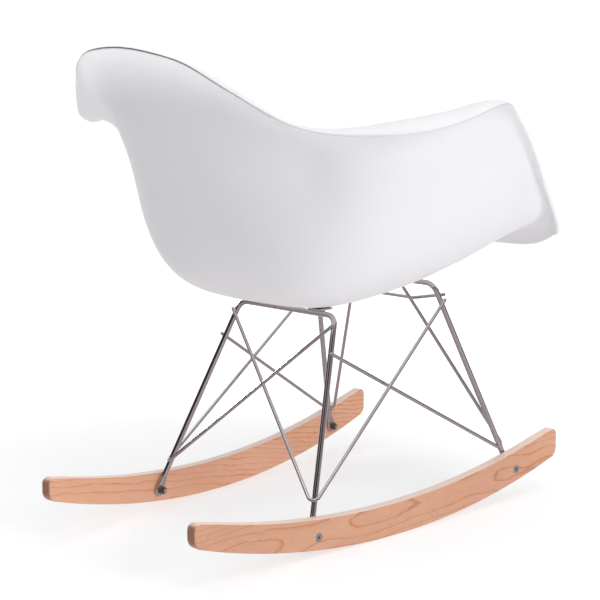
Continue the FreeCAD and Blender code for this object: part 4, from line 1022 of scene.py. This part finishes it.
def rocker_piece(name, s, mat, node_name):
    prof = rocker_profile()
    m = len(prof)
    nxt, prv = np.roll(prof, -1, 0), np.roll(prof, 1, 0)
    tan = nxt - prv
    tan /= np.linalg.norm(tan, axis=1)[:, None]
    nrm = np.stack([tan[:, 1], -tan[:, 0]], 1)      # outward for a counter-clockwise outline
    r = 2.4
    levels = []
    for deg in (0, 22.5, 45, 67.5, 90):
        a = math.radians(deg)
        levels.append((r * (1 - math.sin(a)), r * (1 - math.cos(a))))   # (inset, depth from the face)
    stack = [(0.0 + d, i) for i, d in levels]
    stack = stack + [(THICK - d, i) for i, d in levels[::-1]]
    verts = []
    for x, inset in stack:
        q = prof - nrm * inset
        for y, z in q:
            verts.append((x * MM, y * MM, z * MM))
    faces = []
    L = len(stack)
    for i in range(L - 1):
        for k in range(m):
            k2 = (k + 1) % m
            faces.append((i * m + k, (i + 1) * m + k, (i + 1) * m + k2, i * m + k2))
    faces.append(tuple(range(m)))
    faces.append(tuple((L - 1) * m + k for k in range(m - 1, -1, -1)))
    flip_y = 1.0
    if s < 0:
        verts = [(x, -y, z) for x, y, z in verts]
    ob = new_object(name, verts, faces, [mat])
    weld(ob, 1e-6)
    # countersunk bolt holes in the outer face, and the clearance hole behind
    f = s
    for along, up in (REAR_BOLT, FRONT_BOLT):
        cut = lathe(name + "_cut", [(0.0, THICK - 4.2), (3.25, THICK - 4.2), (3.25, THICK - 3.55),
                                    (6.45, THICK + 0.05), (6.45, THICK + 2.0), (0.0, THICK + 2.0)],
                    (0.0, 0.0, 0.0), (0, 0, 1), [mat], 40)
        cut.matrix_world = Matrix.Translation((0, f * along * MM, up * MM)) @ Matrix.Rotation(math.radians(90), 4, "Y")
        bpy.context.view_layer.update()
        mod = ob.modifiers.new("hole", "BOOLEAN")
        mod.operation = "DIFFERENCE"
        mod.solver = "EXACT"
        mod.object = cut
        dg = bpy.context.evaluated_depsgraph_get()
        dg.update()
        me = bpy.data.meshes.new_from_object(ob.evaluated_get(dg))
        ob.modifiers.clear()
        old = ob.data
        ob.data = me
        bpy.data.meshes.remove(old)
        bpy.data.objects.remove(cut)
    me = ob.data
    me.polygons.foreach_set("use_smooth", [True] * len(me.polygons))
    me.set_sharp_from_angle(angle=math.radians(38))
    wn = ob.modifiers.new("normals", "WEIGHTED_NORMAL")
    wn.keep_sharp = True
    wn.weight = 90
    ang = TOE_ANGLE if s > 0 else math.pi - TOE_ANGLE
    ob.matrix_world = Matrix.Translation((s * 165.2 * MM, 0, 0)) @ Matrix.Rotation(ang, 4, "Z")
    bpy.context.view_layer.update()
    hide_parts(node_name)
    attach(ob, "root")
    return ob


rocker_piece("rocker_plank_right", -1.0, wood_near, "rocker_right")
rocker_piece("rocker_plank_left", 1.0, wood_far, "rocker_left")

# ------------------------------------------------- fasteners, tabs, spacers
for name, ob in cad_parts.items():
    mat = None
    width = 0.0
    if name.startswith("rocker_bolt"):
        mat, width = bright_steel, 0.25
    elif name.startswith("rocker_washer"):
        mat, width = bright_steel, 0.3
    elif name.startswith("rocker_nut"):
        mat, width = dark_steel, 0.45
    elif name.startswith("mount_insert"):
        mat, width = brass, 0.2
    elif name.startswith("mount_tab"):
        mat, width = chrome, 0.9
    elif name.startswith("mount_washer"):
        mat, width = bright_steel, 0.3
    elif name.startswith("mount_screw"):
        mat, width = bright_steel, 0.5
    if mat is None:
        continue
    ob.data.materials.clear()
    ob.data.materials.append(mat)
    bv = ob.modifiers.new("edges", "BEVEL")
    bv.width = width * MM
    bv.segments = 3
    bv.limit_method = "ANGLE"
    bv.angle_limit = math.radians(35)
    bv.harden_normals = False

# moulded bosses and rubber spacers between the shell and the tabs
def shell_point(x, y):
    """Height of the shell's outer face over a point of the floor plan."""
    best = None
    us, vs = np.linspace(0.2, 0.75, 120), np.linspace(0.3, 0.7, 90)
    P = np.einsum("ia,jb,abc->ijc", fast_basis(ROWS, us), fast_basis(WIDE, vs), outer_net, optimize=True).reshape(-1, 3)
    d = (P[:, 0] - x) ** 2 + (P[:, 1] - y) ** 2
    near = np.argsort(d)[:6]
    w = 1.0 / (d[near] + 1e-3)
    return float((P[near, 2] * w).sum() / w.sum())


for fr, yb, zbar, shift, low in (("rear", 29.6, 302.0, -13.0, 311.6), ("front", -153.1, 330.0, 13.0, 339.6)):
    for tag, s in (("right", -1.0), ("left", 1.0)):
        x, y = s * 56.0, yb + shift
        tab_top = zbar + 4.0 + 3.0 - 0.6
        up = []
        seg = 48
        verts = []
        for r, kind in ((4.5, 0), (14.2, 0), (15.0, 0.8), (15.0, 1.6), (15.4, "s-1.6"), (16.6, "s-0.5"), (19.0, "s+0.4")):
            for k in range(seg):
                a = 2 * math.pi * k / seg
                px, py = x + r * math.cos(a), y + r * math.sin(a)
                if isinstance(kind, str):
                    z = max(shell_point(px, py) + float(kind[1:]), low + 1.7)
                else:
                    z = low + kind
                verts.append((px * MM, py * MM, z * MM))
        faces = rings_to_faces(7, seg)
        ob = new_object("shell_boss_%s_%s" % (fr, tag), verts, faces, [shell_mat])
        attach(ob, "root")
        h = low - tab_top
        prof = [(3.4, 0.0), (12.2, 0.0), (12.75, 0.25), (13.0, h * 0.35), (13.0, h * 0.65), (12.75, h - 0.25), (12.2, h), (3.4, h), (3.4, 0.0)]
        ob = lathe("rubber_pad_%s_%s" % (fr, tag), prof, (x, y, tab_top), (0, 0, 1), [rubber], 56)
        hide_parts("mount_spacer_%s_%s" % (fr, tag))
        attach(ob, "root")

# -------------------------------------------------------------- the studio
scene = bpy.context.scene
scene.view_settings.view_transform = "Standard"
scene.view_settings.look = "None"
scene.view_settings.exposure = 0.0
scene.view_settings.gamma = 1.0

world = scene.world or bpy.data.worlds.new("studio")
scene.world = world
world.use_nodes = True
wn = world.node_tree
bg = wn.nodes.get("Background")
bg.inputs["Color"].default_value = (0.985, 0.98, 1.0, 1.0)
bg.inputs["Strength"].default_value = 0.21


def stage_sheet(name, corners, mat, div=2):
    c = [np.array(p, float) for p in corners]
    verts, faces = [], []
    for i in range(div + 1):
        for j in range(div + 1):
            u, v = i / div, j / div
            verts.append((1 - u) * (1 - v) * c[0] + u * (1 - v) * c[1] + u * v * c[2] + (1 - u) * v * c[3])
    for i in range(div):
        for j in range(div):
            a = i * (div + 1) + j
            faces.append((a, a + div + 1, a + div + 2, a + 1))
    ob = new_object(name, verts, faces, [mat])
    return ob


def floor_material():
    m, nt, b = material("studio_floor")
    p = coords(nt)
    n1 = noise(nt, p, 3.0, 3.0, 0.5)
    col = ramp(nt, n1, [(0.3, (0.545, 0.552, 0.56)), (0.7, (0.555, 0.562, 0.57))])
    link(nt, col, b.inputs["Base Color"])
    r = nt.nodes.new("ShaderNodeMapRange")
    r.inputs["To Min"].default_value = 0.75
    r.inputs["To Max"].default_value = 0.85
    link(nt, n1, r.inputs["Value"])
    link(nt, r.outputs[0], b.inputs["Roughness"])
    b.inputs["Specular IOR Level"].default_value = 0.1
    # painted light and shade: the floor glows, least near the chair, standing in for the shade under it, and more away
    # from the object, as a lit studio cove does
    vl = nt.nodes.new("ShaderNodeVectorMath")
    vl.operation = "LENGTH"
    link(nt, p, vl.inputs[0])
    far = nt.nodes.new("ShaderNodeMapRange")
    far.interpolation_type = "SMOOTHSTEP"
    far.inputs["From Min"].default_value = 0.35
    far.inputs["From Max"].default_value = 2.2
    far.inputs["To Min"].default_value = 0.535
    far.inputs["To Max"].default_value = 1.08
    link(nt, vl.outputs["Value"], far.inputs["Value"])
    b.inputs["Emission Color"].default_value = (1, 1, 1, 1)
    link(nt, far.outputs[0], b.inputs["Emission Strength"])
    return m


def round_floor(radius):
    verts, faces = [(0.0, 0.0, 0.0)], []
    seg, rings = 96, 12
    for j in range(1, rings + 1):
        for k in range(seg):
            a = 2 * math.pi * k / seg
            verts.append((radius * j / rings * math.cos(a), radius * j / rings * math.sin(a), 0.0))
    for k in range(seg):
        faces.append((0, 1 + k, 1 + (k + 1) % seg))
    for j in range(rings - 1):
        for k in range(seg):
            a, b = 1 + j * seg + k, 1 + j * seg + (k + 1) % seg
            faces.append((a, a + seg, b + seg, b))
    ob = new_object("studio_floor", verts, faces, [floor_material()])
    return ob


floor = round_floor(2.6)
floor.visible_glossy = False


def glow_material(name, colour, strength):
    m = bpy.data.materials.new(name)
    m.use_nodes = True
    nt = m.node_tree
    nt.nodes.clear()
    out = nt.nodes.new("ShaderNodeOutputMaterial")
    em = nt.nodes.new("ShaderNodeEmission")
    em.inputs["Color"].default_value = (*colour, 1.0)
    em.inputs["Strength"].default_value = strength
    link(nt, em.outputs[0], out.inputs["Surface"])
    return m


def backdrop():
    """Plain white backdrop all round, seen by the camera only."""
    verts, faces = [], []
    nu, nv, r = 48, 24, 17.0
    for j in range(nv + 1):
        th = -math.pi / 2 + math.pi * j / nv
        for k in range(nu):
            a = 2 * math.pi * k / nu
            verts.append((r * math.cos(th) * math.cos(a), r * math.cos(th) * math.sin(a), r * math.sin(th)))
    faces = rings_to_faces(nv + 1, nu)
    ob = new_object("studio_backdrop", verts, faces, [glow_material("backdrop_white", (1, 1, 1), 1.05)])
    for flag in ("visible_diffuse", "visible_glossy", "visible_transmission", "visible_volume_scatter", "visible_shadow"):
        setattr(ob, flag, False)
    return ob


backdrop()


def dark_card(name, az, el, dist, half_w, half_h, level):
    """Dark studio flag, seen only in the gloss of the metal."""
    d = np.array([math.sin(az) * math.cos(el), math.cos(az) * math.cos(el), math.sin(el)])
    c = d * dist + np.array([0, 0, 0.2])
    right = unit(np.cross(d, [0, 0, 1]))
    up = unit(np.cross(right, d))
    ob = stage_sheet(name, [c - right * half_w - up * half_h, c + right * half_w - up * half_h,
                            c + right * half_w + up * half_h, c - right * half_w + up * half_h],
                     glow_material(name + "_dark", (level, level * 0.9, level * 0.9), 1.0))
    for flag in ("visible_camera", "visible_diffuse", "visible_transmission", "visible_volume_scatter", "visible_shadow"):
        setattr(ob, flag, False)
    return ob


def gloss_room():
    """Dim studio room with a bright ceiling, seen only in gloss."""
    m = bpy.data.materials.new("gloss_room")
    m.use_nodes = True
    nt = m.node_tree
    nt.nodes.clear()
    out = nt.nodes.new("ShaderNodeOutputMaterial")
    em = nt.nodes.new("ShaderNodeEmission")
    p = coords(nt)
    sep = nt.nodes.new("ShaderNodeSeparateXYZ")
    link(nt, p, sep.inputs[0])
    zz = maths(nt, "MULTIPLY", sep.outputs[2], 1.0 / 9.0)
    h = maths(nt, "ADD", maths(nt, "MULTIPLY", zz, 0.5), 0.5)
    col = ramp(nt, h, [(0.0, (0.44, 0.39, 0.40)), (0.40, (0.42, 0.37, 0.38)), (0.49, (0.52, 0.465, 0.48)), (0.525, (0.16, 0.14, 0.145)),
                       (0.60, (0.030, 0.026, 0.028)), (0.70, (0.040, 0.035, 0.038)), (0.78, (0.42, 0.385, 0.395)), (0.94, (0.95, 0.94, 0.95))])
    right_side = nt.nodes.new("ShaderNodeMapRange")
    right_side.interpolation_type = "SMOOTHSTEP"
    right_side.inputs["From Min"].default_value = 3.0
    right_side.inputs["From Max"].default_value = 7.5
    link(nt, maths(nt, "MULTIPLY", sep.outputs[0], -1.0), right_side.inputs["Value"])
    col = mix(nt, maths(nt, "MULTIPLY", right_side.outputs[0], 0.25), col, (0.98, 0.95, 0.96))
    # the white backdrop lies on the far side of the chair
    ahead = maths(nt, "ADD", maths(nt, "MULTIPLY", sep.outputs[0], 0.69 / 9.0), maths(nt, "MULTIPLY", sep.outputs[1], -0.70 / 9.0))
    ahead = maths(nt, "ADD", ahead, maths(nt, "MULTIPLY", sep.outputs[2], 0.17 / 9.0))
    drop = nt.nodes.new("ShaderNodeMapRange")
    drop.interpolation_type = "SMOOTHSTEP"
    drop.inputs["From Min"].default_value = 0.66
    drop.inputs["From Max"].default_value = 0.84
    link(nt, ahead, drop.inputs["Value"])
    col = mix(nt, drop.outputs[0], col, (1.0, 0.985, 0.985))
    link(nt, col, em.inputs["Color"])
    link(nt, em.outputs[0], out.inputs["Surface"])
    verts = []
    nu, nv, r = 48, 24, 9.0
    for j in range(nv + 1):
        th = -math.pi / 2 + math.pi * j / nv
        for k in range(nu):
            a = 2 * math.pi * k / nu
            verts.append((r * math.cos(th) * math.cos(a), r * math.cos(th) * math.sin(a), r * math.sin(th)))
    ob = new_object("studio_gloss_room", verts, rings_to_faces(nv + 1, nu), [m])
    for flag in ("visible_camera", "visible_diffuse", "visible_transmission", "visible_volume_scatter", "visible_shadow"):
        setattr(ob, flag, False)
    return ob


gloss_room()

# azimuths are measured from +Y towards +X; the camera stands at about -44 degrees
dark_card("flag_behind_camera", math.radians(-44), math.radians(36), 6.0, 2.4, 2.4, 0.02)
dark_card("flag_left", math.radians(25), math.radians(8), 6.5, 1.1, 1.6, 0.05)


def soft_light(name, place, target, size, power, colour=(1, 1, 1), spread=180.0):
    ld = bpy.data.lights.new(name, "AREA")
    ld.shape = "RECTANGLE"
    ld.size, ld.size_y = size
    ld.energy = power
    ld.color = colour
    ld.spread = math.radians(spread)
    ob = bpy.data.objects.new(name, ld)
    scene.collection.objects.link(ob)
    d = Vector(target) - Vector(place)
    ob.location = place
    ob.rotation_euler = d.to_track_quat("-Z", "Y").to_euler()
    return ob


soft_light("key_right", (-3.2, -0.35, 1.5), (0, 0, 0.35), (1.8, 1.8), 48.0, (1.0, 1.0, 1.0))
soft_light("key_high", (-1.9, 0.3, 3.3), (0, 0, 0.3), (1.8, 1.8), 30.0, (1.0, 1.0, 1.0))
for shaded in ("key_right", "key_high"):
    bpy.data.objects[shaded].visible_glossy = False
soft_light("top", (0.2, 0.0, 3.2), (0, 0, 0.3), (3.0, 3.0), 42.0)
soft_light("low_left", (3.0, 0.15, 1.25), (0, 0, 0.1), (0.45, 0.45), 13.0)

# ------------------------------------------------------------------ camera
cam_data = bpy.data.cameras.new("camera")
cam_data.sensor_fit = "HORIZONTAL"
cam_data.sensor_width = 36.0
cam_data.lens = 96.0
cam_data.clip_start = 0.05
cam_data.clip_end = 80.0
cam = bpy.data.objects.new("camera", cam_data)
scene.collection.objects.link(cam)
YAW, PITCH = math.radians(44.44503), math.radians(9.393807)
look = Vector((math.sin(YAW) * math.cos(PITCH), -math.cos(YAW) * math.cos(PITCH), -math.sin(PITCH)))
cam.location = (-1.5851253, 1.6187003, 0.6848965)
cam.rotation_euler = look.to_track_quat("-Z", "Y").to_euler()
scene.camera = cam
bpy.context.view_layer.update()
